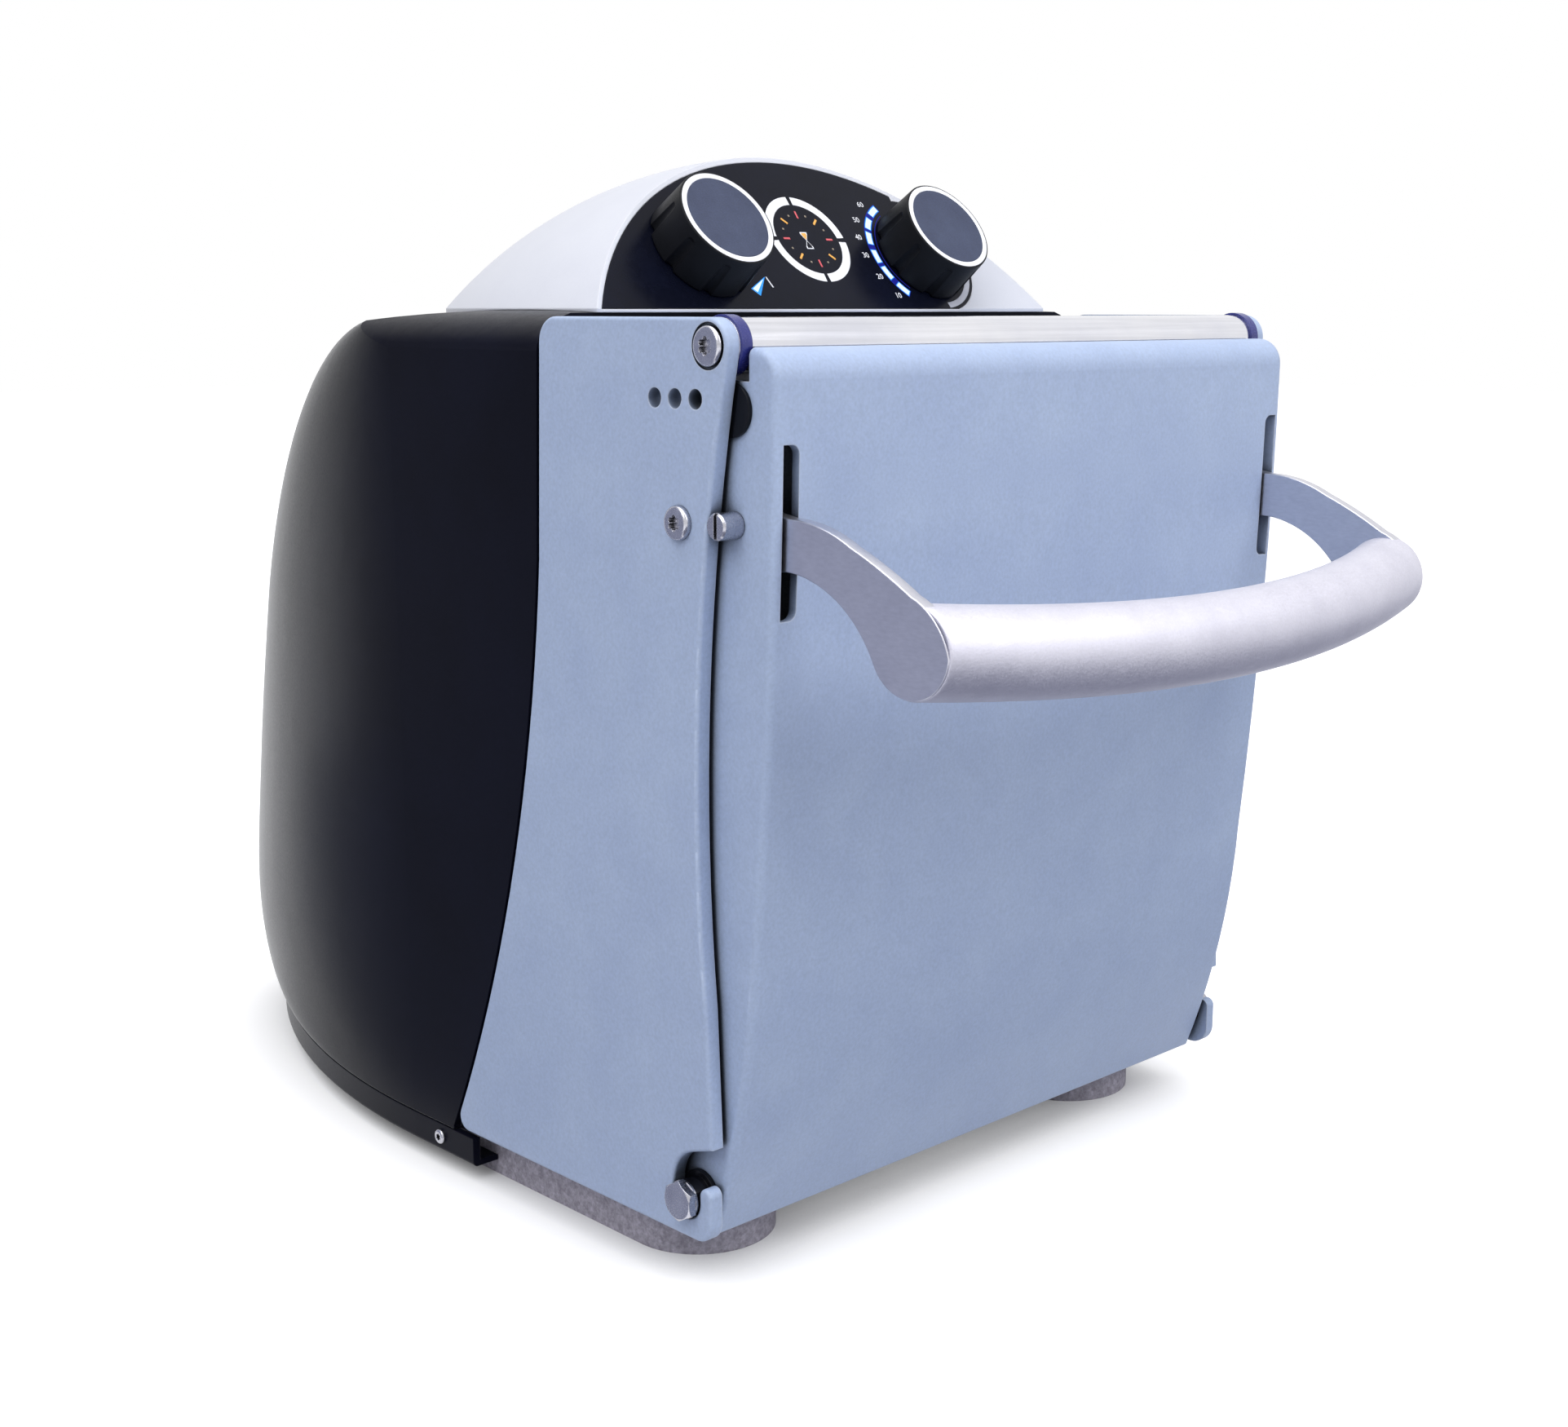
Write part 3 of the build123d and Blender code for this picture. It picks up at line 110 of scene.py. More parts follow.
def makeSurface(name, look):
    material, tree = newMaterial(name)
    place = addNode(tree, "ShaderNodeTexCoord").outputs["Object"]
    stretched = addNode(tree, "ShaderNodeMapping", {"Scale": look.get("stretch", (1, 1, 1))},
                        {"Vector": place}).outputs[0]
    mottle = addNode(tree, "ShaderNodeTexNoise",
                     {"Scale": 1000 / look["mottleMm"], "Detail": 4.0, "Roughness": 0.6},
                     {"Vector": place})
    grain = addNode(tree, "ShaderNodeTexNoise",
                    {"Scale": 1000 / look["grainMm"], "Detail": 3.0, "Roughness": 0.55},
                    {"Vector": stretched})
    spread = look.get("mottle", 0.5)
    speckle = look["speckle"]
    shade = addNode(tree, "ShaderNodeMapRange", {**noiseSpan, "To Min": 0.5 - spread, "To Max": 0.5 + spread},
                    {"Value": mottle.outputs["Fac"]})
    colour = addNode(tree, "ShaderNodeMix",
                     {"data_type": "RGBA", 6: toLinear(look["colour"]), 7: toLinear(look["colour2"])},
                     {0: shade.outputs[0]}).outputs[2]
    speck = addNode(tree, "ShaderNodeMapRange", {**noiseSpan, "To Min": 1 - speckle, "To Max": 1 + speckle},
                    {"Value": grain.outputs["Fac"]})
    colour = addNode(tree, "ShaderNodeVectorMath", {"operation": "MULTIPLY"},
                     {0: colour, 1: speck.outputs[0]}).outputs[0]
    rounded = addNode(tree, "ShaderNodeBevel", {"Radius": look.get("edgeMm", 0.5) / 1000, "samples": 4})
    if "rim" in look:                                   # painted highlight: a paler colour where rounded edges turn, in place of the light they catch
        flat = addNode(tree, "ShaderNodeNewGeometry")
        turned = addNode(tree, "ShaderNodeVectorMath", {"operation": "DOT_PRODUCT"},
                         {0: rounded.outputs[0], 1: flat.outputs["Normal"]})
        edge = addNode(tree, "ShaderNodeMapRange", {**edgeSpan, "To Min": 0.0, "To Max": 0.8},
                       {"Value": turned.outputs["Value"]})
        colour = addNode(tree, "ShaderNodeMix", {"data_type": "RGBA", 7: toLinear(look["rim"])},
                         {0: edge.outputs[0], 6: colour}).outputs[2]
    if "paintedShade" in look:                               # painted shade: colour darkened in holes and gaps by how closed in they are, in place of the shade in them
        openness = addNode(tree, "ShaderNodeAmbientOcclusion",
                           {"samples": 8, "Distance": look["paintedShadeMm"] / 1000}).outputs["AO"]
        lit = addNode(tree, "ShaderNodeMapRange", {**openSpan, "To Min": 1 - look["paintedShade"], "To Max": 1.0},
                      {"Value": openness}).outputs[0]
        colour = addNode(tree, "ShaderNodeVectorMath", {"operation": "MULTIPLY"}, {0: colour, 1: lit}).outputs[0]
    vary = look.get("roughVary", 0.05)
    gloss = addNode(tree, "ShaderNodeMapRange",
                    {**noiseSpan, "To Min": look["rough"] - vary, "To Max": look["rough"] + vary},
                    {"Value": grain.outputs["Fac"]})
    relief = addNode(tree, "ShaderNodeBump",
                     {"Strength": look.get("relief", 0.5), "Distance": look["depthMm"] / 1000},
                     {"Height": grain.outputs["Fac"], "Normal": rounded.outputs[0]})
    settings = {name: look[name] for name in ("Specular IOR Level", "Sheen Weight", "Sheen Roughness") if name in look}
    if "metallic" in look:
        settings["Metallic"] = look["metallic"]
    else:
        settings["IOR"] = 1.5                           # a metal keeps Blender's own
    shader = addNode(tree, "ShaderNodeBsdfPrincipled", settings,
                     {"Base Color": colour, "Roughness": gloss.outputs[0], "Normal": relief.outputs[0]})
    addNode(tree, "ShaderNodeOutputMaterial", {}, {"Surface": shader.outputs[0]})
    return material


# Each surface is a real material and says how it was made; the paler rim colour is a painted highlight on rounded
# edges, and the darkening of holes and gaps is painted shade.
surfaces = {
    # polyester powder baked on sheet aluminium: a fine orange peel about 1 mm across, with a painted highlight at its
    # edges and painted shade in its holes and gaps
    "powderCoat": {"colour": "#A1B1D0", "colour2": "#A8B8D5", "mottleMm": 25, "grainMm": 1.1, "depthMm": 0.05,
                   "rough": 0.5, "roughVary": 0.06, "speckle": 0.07, "relief": 0.6, "rim": "#E6ECF7", "edgeMm": 0.7,
                   "paintedShade": 0.94, "paintedShadeMm": 12},
    # ABS moulded in a satin tool and dyed navy black: smooth at arm's length
    "absNavy": {"colour": "#090A16", "colour2": "#0D0F1E", "mottleMm": 60, "grainMm": 0.9, "depthMm": 0.02,
                "rough": 0.32, "roughVary": 0.04, "speckle": 0.08, "relief": 0.4, "Specular IOR Level": 0.06,
                "Sheen Weight": 0.6, "Sheen Roughness": 0.17},
    # ABS moulded and sprayed with a pale satin lacquer, with a painted highlight at its edges
    "absPale": {"colour": "#C6C8D2", "colour2": "#CCCED7", "mottleMm": 50, "grainMm": 0.9, "depthMm": 0.02,
                "rough": 0.45, "roughVary": 0.04, "speckle": 0.015, "relief": 0.4, "rim": "#E9EAF1", "edgeMm": 0.8},
    # polyester overlay film printed black from behind: a glossy front
    "overlayFilm": {"colour": "#090B16", "colour2": "#0E1120", "mottleMm": 40, "grainMm": 2.5, "depthMm": 0.01,
                    "rough": 0.24, "roughVary": 0.03, "speckle": 0.05, "relief": 0.2, "Specular IOR Level": 0.1},
    # glass-filled nylon moulded in a spark-eroded tool: black and matte, with painted shade where it is closed in
    "nylonBlack": {"colour": "#0C0D11", "colour2": "#111217", "mottleMm": 12, "grainMm": 0.5, "depthMm": 0.04,
                   "rough": 0.5, "roughVary": 0.08, "speckle": 0.15, "Specular IOR Level": 0.16, "edgeMm": 0.6,
                   "paintedShade": 0.6, "paintedShadeMm": 4},
    # soft-touch lacquer on the caps: slate, with a fine even grit
    "softTouch": {"colour": "#373E56", "colour2": "#3F475F", "mottleMm": 10, "grainMm": 0.45, "depthMm": 0.05,
                  "rough": 0.6, "roughVary": 0.06, "speckle": 0.2, "Specular IOR Level": 0.3},
    # two-component screen inks: an even, slightly raised film in each colour
    "inkWhite": {"colour": "#F2F3F8", "colour2": "#E9EAF2", "mottleMm": 6, "grainMm": 0.4, "depthMm": 0.01,
                 "rough": 0.35, "speckle": 0.02},
    "inkGrey": {"colour": "#A9ABB8", "colour2": "#B9BBC6", "mottleMm": 6, "grainMm": 0.4, "depthMm": 0.01,
                "rough": 0.4, "speckle": 0.03},
    "inkOrange": {"colour": "#E8A548", "colour2": "#EDB055", "mottleMm": 6, "grainMm": 0.4, "depthMm": 0.01,
                  "rough": 0.4, "speckle": 0.03},
    "inkTan": {"colour": "#8C7F6E", "colour2": "#96897A", "mottleMm": 6, "grainMm": 0.4, "depthMm": 0.01,
               "rough": 0.4, "speckle": 0.03},
    "inkRed": {"colour": "#E0616A", "colour2": "#D9545F", "mottleMm": 6, "grainMm": 0.4, "depthMm": 0.01,
               "rough": 0.4, "speckle": 0.03},
    # stainless steel 1.4301, laser cut and belt ground along its length: scratches about 0.15 mm apart, and a painted
    # highlight at its edges
    "steelGround": {"colour": "#CDCDD6", "colour2": "#D5D5DD", "mottleMm": 18, "grainMm": 0.9, "depthMm": 0.004,
                    "stretch": (1, 0.3, 1), "metallic": 1.0, "rough": 0.33, "roughVary": 0.02, "speckle": 0.05,
                    "edgeMm": 0.35, "rim": "#F0F0F4"},
    # stainless steel turned on a lathe: bright, with fine marks, and painted shade where it is closed in
    "steelTurned": {"colour": "#C4C4CB", "colour2": "#B2B2BB", "mottleMm": 4, "grainMm": 0.5, "depthMm": 0.01,
                    "metallic": 1.0, "rough": 0.24, "roughVary": 0.06, "speckle": 0.08, "edgeMm": 0.3,
                    "paintedShade": 0.95, "paintedShadeMm": 3},
    # stainless bar polished lengthwise: long streaks a few tenths of a millimetre wide
    "steelPolished": {"colour": "#E9E9EE", "colour2": "#DCDDE6", "mottleMm": 40, "grainMm": 2.0, "depthMm": 0.02,
                      "stretch": (0.02, 1, 1), "metallic": 1.0, "rough": 0.17, "roughVary": 0.06, "speckle": 0.08},
    # aluminium blasted with glass beads and anodised clear: soft sparkle of pits 0.3 to 0.6 mm across
    "gripAnodised": {"colour": "#CBCAD5", "colour2": "#D3D2DC", "mottleMm": 14, "grainMm": 0.7, "depthMm": 0.06,
                     "metallic": 1.0, "rough": 0.6, "roughVary": 0.08, "speckle": 0.06, "relief": 0.8, "edgeMm": 0.4},
    # PETG turned from rod, dyed blue violet: smooth and a little see-through in life
    "petgViolet": {"colour": "#262A70", "colour2": "#323780", "mottleMm": 5, "grainMm": 0.6, "depthMm": 0.01,
                   "rough": 0.25, "speckle": 0.05},
    # granulated rubber sheet, knife cut: grey with dark and pale crumbs about 1 mm across
    "rubberCrumb": {"colour": "#97929E", "colour2": "#BDB8C5", "mottleMm": 2.2, "mottle": 0.6, "grainMm": 0.9,
                    "depthMm": 0.12, "rough": 0.8, "roughVary": 0.08, "speckle": 0.16, "relief": 0.7,
                    "Specular IOR Level": 0.2},
    # acetal turned from rod: black, silky
    "acetalBlack": {"colour": "#0A0B10", "colour2": "#101117", "mottleMm": 6, "grainMm": 0.5, "depthMm": 0.01,
                    "rough": 0.22, "roughVary": 0.05, "speckle": 0.1, "edgeMm": 0.4, "Specular IOR Level": 0.2},
    # extruded silicone: pale and soft, with painted shade where it is closed in
    "siliconeSeal": {"colour": "#BFC1C6", "colour2": "#C8CACF", "mottleMm": 10, "grainMm": 0.8, "depthMm": 0.03,
                     "rough": 0.62, "speckle": 0.04, "Specular IOR Level": 0.35, "paintedShade": 0.97, "paintedShadeMm": 25},
    # vacuum-formed polystyrene, with painted shade where it is closed in
    "styreneWhite": {"colour": "#D9DBE0", "colour2": "#E0E2E7", "mottleMm": 30, "grainMm": 1.4, "depthMm": 0.03,
                     "rough": 0.38, "speckle": 0.02, "paintedShade": 0.97, "paintedShadeMm": 25},
    # aluminium cast in sand and machined where it mates: a coarse skin
    "castAluminium": {"colour": "#A9ABAF", "colour2": "#B4B6BA", "mottleMm": 9, "grainMm": 0.9, "depthMm": 0.08,
                      "metallic": 1.0, "rough": 0.5, "roughVary": 0.1, "speckle": 0.1, "relief": 0.8},
    # sintered bronze: tiny pores
    "bronzeSintered": {"colour": "#B08A57", "colour2": "#A07A4B", "mottleMm": 3, "grainMm": 0.4, "depthMm": 0.05,
                       "metallic": 1.0, "rough": 0.42, "speckle": 0.15},
    # neoprene with a fabric face
    "neopreneBelt": {"colour": "#141416", "colour2": "#1C1C1F", "mottleMm": 3, "grainMm": 0.6, "depthMm": 0.08,
                     "rough": 0.75, "speckle": 0.2, "Specular IOR Level": 0.25},
    # baked enamel on the motor's drum
    "motorEnamel": {"colour": "#33363B", "colour2": "#3A3D43", "mottleMm": 12, "grainMm": 1.0, "depthMm": 0.04,
                    "rough": 0.4, "speckle": 0.06},
    # silicon steel sheets 0.5 mm thick, stacked along the shaft: fine bands across it
    "steelLaminated": {"colour": "#7F8188", "colour2": "#8E9097", "mottleMm": 6, "grainMm": 1.0, "depthMm": 0.06,
                       "stretch": (3, 0.2, 0.2), "metallic": 1.0, "rough": 0.45, "speckle": 0.2},
    # hardened and ground steel
    "steelGroundShaft": {"colour": "#8E9096", "colour2": "#9A9CA2", "mottleMm": 5, "grainMm": 0.6, "depthMm": 0.01,
                         "metallic": 1.0, "rough": 0.25, "speckle": 0.06},
    # glass epoxy board under green solder resist
    "boardResist": {"colour": "#175A33", "colour2": "#1F6B3E", "mottleMm": 4, "grainMm": 1.2, "depthMm": 0.02,
                    "stretch": (1, 3, 1), "rough": 0.3, "speckle": 0.2},
    # zinc dipped sheet: spangles a few millimetres across
    "zincSheet": {"colour": "#A2A5A9", "colour2": "#C0C3C7", "mottleMm": 7, "mottle": 0.9, "grainMm": 1.0,
                  "depthMm": 0.02, "metallic": 1.0, "rough": 0.38, "roughVary": 0.1, "speckle": 0.05},
}
finishes = {name: makeSurface(name, look) for name, look in surfaces.items()}
print("surfaces made:", len(finishes))


# Polycarbonate lit by blue diodes: blue at its edges, nearly white over each diode; the blue on the film round them is
# painted light, a glowing patch in place of the light the diodes throw there.
glows = {
    "polycarbonateLit": {"colour": "#1F8CFF", "colour2": "#3CA4FF", "cellMm": 3, "strength": 1.25, "roughness": 0.3},
    "diodeCore": {"colour": "#D6F4FF", "colour2": "#F2FEFF", "cellMm": 1.5, "strength": 1.15, "roughness": 0.3},
    # painted light: the film glows where the diodes' blue would fall on it
    "filmLit": {"colour": "#06128C", "colour2": "#0A1CB4", "cellMm": 2, "strength": 0.8, "roughness": 0.5},
}
unlitGuide = (0.01, 0.01, 0.02, 1)                      # what a guide looks like when its diode is off


def makeGlow(name, look):
    material, tree = newMaterial(name)
    place = addNode(tree, "ShaderNodeTexCoord").outputs["Object"]
    cells = addNode(tree, "ShaderNodeTexNoise", {"Scale": 1000 / look["cellMm"], "Detail": 1.0}, {"Vector": place})
    colour = addNode(tree, "ShaderNodeMix",
                     {"data_type": "RGBA", 6: toLinear(look["colour"]), 7: toLinear(look["colour2"])},
                     {0: cells.outputs["Fac"]}).outputs[2]
    shader = addNode(tree, "ShaderNodeBsdfPrincipled",
                     {"Roughness": look["roughness"], "IOR": 1.58, "Specular IOR Level": 0.05,
                      "Emission Strength": look["strength"], "Base Color": unlitGuide},
                     {"Emission Color": colour})
    addNode(tree, "ShaderNodeOutputMaterial", {}, {"Surface": shader.outputs[0]})
    return material


for name, look in glows.items():
    finishes[name] = makeGlow(name, look)

# What each CAD node is made of.
nodeFinish = {
    "powderCoat": ["side_frame_left", "side_frame_right", "door_shell", "top_plate"],
    "absNavy": ["rear_cover", "lower_cover"],
    "absPale": ["console_housing"],
    "overlayFilm": ["console_fascia", "dial_face"],
    "nylonBlack": ["speed_knob", "time_knob", "power_rocker", "mains_inlet", "switch_housing", "encoders"],
    "softTouch": ["speed_knob_cap", "time_knob_cap"],
    "inkWhite": ["speed_knob_ring", "time_knob_ring", "dial_ring"],
    "inkGrey": ["fascia_crescent"],
    "polycarbonateLit": ["speed_lights", "time_pointer_light"],
    "steelGround": ["handle_arms"],
    "steelTurned": ["handle_pivot_pins", "hinge_bolts", "bar_screws", "latch_studs", "cover_screws",
                    "paddle_rod_left", "paddle_rod_right"],
    "steelPolished": ["top_bar", "paddle_left", "paddle_right", "chamber_liner"],
    "gripAnodised": ["handle_grip"],
    "petgViolet": ["bar_end_rings"],
    "rubberCrumb": ["foot_rails", "rear_feet"],
    "acetalBlack": ["hinge_bushes", "latch_discs"],
    "siliconeSeal": ["door_seal"],
    "styreneWhite": ["door_liner"],
    "castAluminium": ["base_plate", "drive_housing", "motor_cradle", "motor_pulley", "crank_pulley"],
    "bronzeSintered": ["shaft_bushes"],
    "neopreneBelt": ["drive_belt"],
    "motorEnamel": ["motor_housing"],
    "steelLaminated": ["motor_stator", "motor_rotor"],
    "steelGroundShaft": ["crankshaft", "crank_bearings", "eccentric_bearings"],
    "boardResist": ["control_board", "display_board"],
    "zincSheet": ["power_supply", "inlet_panel"],
}


def paint(mesh, finish):
    mesh.materials.clear()
    mesh.materials.append(finishes[finish])


for finish, names in nodeFinish.items():
    for name in names:
        paint(cad[name].data, finish)
left = sorted(set(cad) - {n for names in nodeFinish.values() for n in names})
print("CAD nodes without a finish:", left)

# The fascia leans back; its own directions are across, up its slope, and out of it. Sizes in millimetres.
fascia = {"barY": -141.9962, "originY": 78.8, "originZ": 306.9, "lean": 36.0}
mm = 0.001


def onFascia(across, up, out):
    lean = math.radians(fascia["lean"])
    y = fascia["barY"] + fascia["originY"] + up * math.sin(lean) - out * math.cos(lean)
    z = fascia["originZ"] + up * math.cos(lean) + out * math.sin(lean)
    return Vector((across, y, z)) * mm


# A mesh from points and faces, its place in the mesh, riding on a body.
def makePiece(name, mesh, finish, body):
    paint(mesh, finish)
    piece = newObject(name, mesh)
    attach(piece, body)
    return piece


# Flat shapes on the fascia, each a closed ring of (across, up) points raised a little above it.
def inlayMesh(name, rings, base, height):
    shape = bmesh.new()
    for ring in rings:
        low = [shape.verts.new(onFascia(a, b, base)) for a, b in ring]
        high = [shape.verts.new(onFascia(a, b, base + height)) for a, b in ring]
        shape.faces.new(high)
        shape.faces.new(list(reversed(low)))
        for i in range(len(ring)):
            j = (i + 1) % len(ring)
            shape.faces.new([low[i], low[j], high[j], high[i]])
    return outwardMesh(name, shape)


# Marks spaced evenly round a centre on the fascia: one tree, used for every kind of mark. All in millimetres.
dial = {"up": 30.3, "proud": 0.1,
        "ticksRed": {"count": 4, "from": 0, "radius": 10.7, "length": 3.2, "width": 0.8, "finish": "inkRed"},
        "ticksOrange": {"count": 4, "from": 45, "radius": 10.9, "length": 3.2, "width": 0.9, "finish": "inkOrange"},
        "dots": {"count": 8, "from": 22.5, "radius": 11.0, "length": 0.8, "width": 0.8, "finish": "inkTan"}}


def makeRingTree():
    tree = bpy.data.node_groups.new("ringOfMarks", "GeometryNodeTree")
    tree.interface.new_socket("Geometry", in_out="OUTPUT", socket_type="NodeSocketGeometry")
    for name in ("Count", "Seed"):
        tree.interface.new_socket(name, in_out="INPUT", socket_type="NodeSocketInt")
    for name in ("From", "Radius", "Length", "Width", "Height", "Lean"):
        tree.interface.new_socket(name, in_out="INPUT", socket_type="NodeSocketFloat")
    tree.interface.new_socket("Centre", in_out="INPUT", socket_type="NodeSocketVector")
    tree.interface.new_socket("Material", in_out="INPUT", socket_type="NodeSocketMaterial")
    given = addNode(tree, "NodeGroupInput").outputs
    step = addNode(tree, "ShaderNodeMath", {"operation": "DIVIDE", 0: 2 * math.pi}, {1: given["Count"]})
    number = addNode(tree, "GeometryNodeInputIndex")
    angle = addNode(tree, "ShaderNodeMath", {"operation": "MULTIPLY_ADD"},
                    {0: number.outputs[0], 1: step.outputs[0], 2: given["From"]}).outputs[0]
    across = addNode(tree, "ShaderNodeMath", {"operation": "COSINE"}, {0: angle})
    upwards = addNode(tree, "ShaderNodeMath", {"operation": "SINE"}, {0: angle})
    side = addNode(tree, "ShaderNodeMath", {"operation": "MULTIPLY"}, {0: across.outputs[0], 1: given["Radius"]})
    rise = addNode(tree, "ShaderNodeMath", {"operation": "MULTIPLY"}, {0: upwards.outputs[0], 1: given["Radius"]})
    half = addNode(tree, "ShaderNodeMath", {"operation": "MULTIPLY", 1: 0.5}, {0: given["Height"]})
    place = addNode(tree, "ShaderNodeCombineXYZ", {},
                    {"X": side.outputs[0], "Y": rise.outputs[0], "Z": half.outputs[0]})
    points = addNode(tree, "GeometryNodePoints", {}, {"Count": given["Count"], "Position": place.outputs[0]})
    size = addNode(tree, "ShaderNodeCombineXYZ", {},
                   {"X": given["Length"], "Y": given["Width"], "Z": given["Height"]})
    bar = addNode(tree, "GeometryNodeMeshCube", {}, {"Size": size.outputs[0]})
    turn = addNode(tree, "ShaderNodeCombineXYZ", {}, {"Z": angle})
    facing = addNode(tree, "FunctionNodeEulerToRotation", {}, {0: turn.outputs[0]})
    marks = addNode(tree, "GeometryNodeInstanceOnPoints", {},
                    {"Points": points.outputs[0], "Instance": bar.outputs[0], "Rotation": facing.outputs[0]})
    leaning = addNode(tree, "ShaderNodeCombineXYZ", {}, {"X": given["Lean"]})
    tilt = addNode(tree, "FunctionNodeEulerToRotation", {}, {0: leaning.outputs[0]})
    placed = addNode(tree, "GeometryNodeTransform", {},
                     {"Geometry": marks.outputs[0], "Translation": given["Centre"], "Rotation": tilt.outputs[0]})
    real = addNode(tree, "GeometryNodeRealizeInstances", {}, {"Geometry": placed.outputs[0]})
    painted = addNode(tree, "GeometryNodeSetMaterial", {},
                      {"Geometry": real.outputs[0], "Material": given["Material"]})
    addNode(tree, "NodeGroupOutput", {}, {"Geometry": painted.outputs[0]})
    return tree


# Runs a tree on an empty holder with the inputs given, and keeps what comes out as a plain mesh.
def meshFromTree(name, tree, inputs):
    holder = newObject(name, bpy.data.meshes.new(name + "Seed"))
    grown = holder.modifiers.new("grown", "NODES")
    grown.node_group = tree
    for socket in tree.interface.items_tree:
        if socket.in_out == "INPUT":
            grown[socket.identifier] = inputs[socket.name]
    bpy.context.view_layer.update()
    depsgraph = bpy.context.evaluated_depsgraph_get()
    mesh = bpy.data.meshes.new_from_object(holder.evaluated_get(depsgraph), depsgraph=depsgraph)
    holder.modifiers.remove(grown)
    bpy.data.objects.remove(holder)
    return mesh


def makeDialMarks():
    tree = makeRingTree()
    for name in ("ticksRed", "ticksOrange", "dots"):
        mark = dial[name]
        inputs = {"Count": mark["count"], "Seed": 1, "From": math.radians(mark["from"]),
                  "Radius": mark["radius"] * mm, "Length": mark["length"] * mm, "Width": mark["width"] * mm,
                  "Height": dial["proud"] * mm, "Lean": math.radians(90 - fascia["lean"]),
                  "Centre": onFascia(0, dial["up"], 0), "Material": finishes[mark["finish"]]}
        makePiece("dial_" + name, meshFromTree("dial_" + name, tree, inputs), mark["finish"], "machine")


# The hourglass in the middle of the dial: white outline, the upper bulb full of sand. Points are (across, up).
hourglass = {"at": (-1.2, 29.6), "high": 3.7, "wide": 1.7, "neck": 0.25, "line": 0.42, "shoulder": 0.9,
             "slant": 1.3, "proud": 0.1, "fillProud": 0.13}


def makeHourglass():
    x, y = hourglass["at"]
    neck, line = hourglass["neck"] / 2, hourglass["line"]

    def bulb(way, shrink):
        top = y + way * (hourglass["high"] - shrink)
        shoulder = y + way * (hourglass["high"] - shrink - hourglass["shoulder"])
        side = hourglass["wide"] - shrink * hourglass["slant"]
        waist = y + way * shrink
        return [(x - neck, waist), (x - side, shoulder), (x - side, top),
                (x + side, top), (x + side, shoulder), (x + neck, waist)]

    proud, fillProud = hourglass["proud"], hourglass["fillProud"]
    for name, bulbs, height, finish in (("hourglass_outline", [bulb(1, 0), bulb(-1, 0)], proud, "inkWhite"),
                                        ("hourglass_empty", [bulb(-1, line)], fillProud, "overlayFilm"),
                                        ("hourglass_sand", [bulb(1, line)], fillProud, "inkOrange")):
        makePiece(name, inlayMesh(name, bulbs, 0, height), finish, "machine")


# Plain numbers beside the lit segments, and the mark beside the lit pointer.
scale = {"knobAcross": 55.3, "knobUp": 24.2, "radius": 29.4, "high": 2.3, "proud": 0.08, "thicken": 0.03,
         "figureShare": 0.7,                            # a figure is about 0.7 of the size that type is given in
         "marks": (("60", 129), ("50", 148), ("40", 165), ("30", 181), ("20", 200), ("10", 219)),
         "pointerMark": ((-30.8, 13.2), (-30.2, 13.4), (-29.0, 8.9), (-29.7, 8.7))}


def makeNumber(text, across, up):
    curve = bpy.data.curves.new("number_" + text, "FONT")
    curve.body = text
    curve.size = scale["high"] / scale["figureShare"] * mm
    curve.align_x = "CENTER"
    curve.align_y = "CENTER"
    curve.extrude = scale["proud"] / 2 * mm
    curve.offset = scale["thicken"] * mm
    curve.resolution_u = 3
    mesh = shownMesh(newObject("number_" + text, curve))
    tilt = Matrix.Rotation(math.radians(90 - fascia["lean"]), 4, "X")
    mesh.transform(Matrix.Translation(onFascia(across, up, scale["proud"] / 2)) @ tilt)
    joinCorners(mesh, False)
    makePiece("number_" + text, mesh, "inkWhite", "machine")


def makeScale():
    for text, angle in scale["marks"]:
        turn = math.radians(angle)
        makeNumber(text, scale["knobAcross"] + scale["radius"] * math.cos(turn),
                   scale["knobUp"] + scale["radius"] * math.sin(turn))
    mark = inlayMesh("pointer_mark", [scale["pointerMark"]], 0, scale["proud"])
    makePiece("pointer_mark", mark, "inkWhite", "machine")


# The lit strips beside the scale, and the blue they spill on the film round them, painted as glowing patches on the
# film and at the knob's foot; degrees and millimetres.
lights = {"angles": (124, 144, 162, 182, 200, 220), "radius": 24.0,
          "layers": {"light_edges": {"sweep": 14.5, "width": 3.0, "proud": 0.04, "finish": "polycarbonateLit"},
                     "light_cores": {"sweep": 13.0, "width": 2.3, "proud": 0.06, "finish": "diodeCore"}},
          "spill": {"light_spill_film": (116, 228, 22.3, 25.8), "light_spill_knob": (120, 226, 20.7, 21.0)},
          "spillBase": -0.2, "spillHigh": 0.22,
          "pointerCore": ((-32.2, 12.4), (-39.3, 8.3), (-37.8, 6.8)), "pointerProud": 0.06}


# A band round the speed knob between two angles and two radii.
def arcRing(start, end, inner, outer):
    across, up = scale["knobAcross"], scale["knobUp"]
    count = max(4, round(abs(end - start) / 2))
    turns = [math.radians(start + (end - start) * n / count) for n in range(count + 1)]
    return ([(across + outer * math.cos(t), up + outer * math.sin(t)) for t in turns]
            + [(across + inner * math.cos(t), up + inner * math.sin(t)) for t in reversed(turns)])


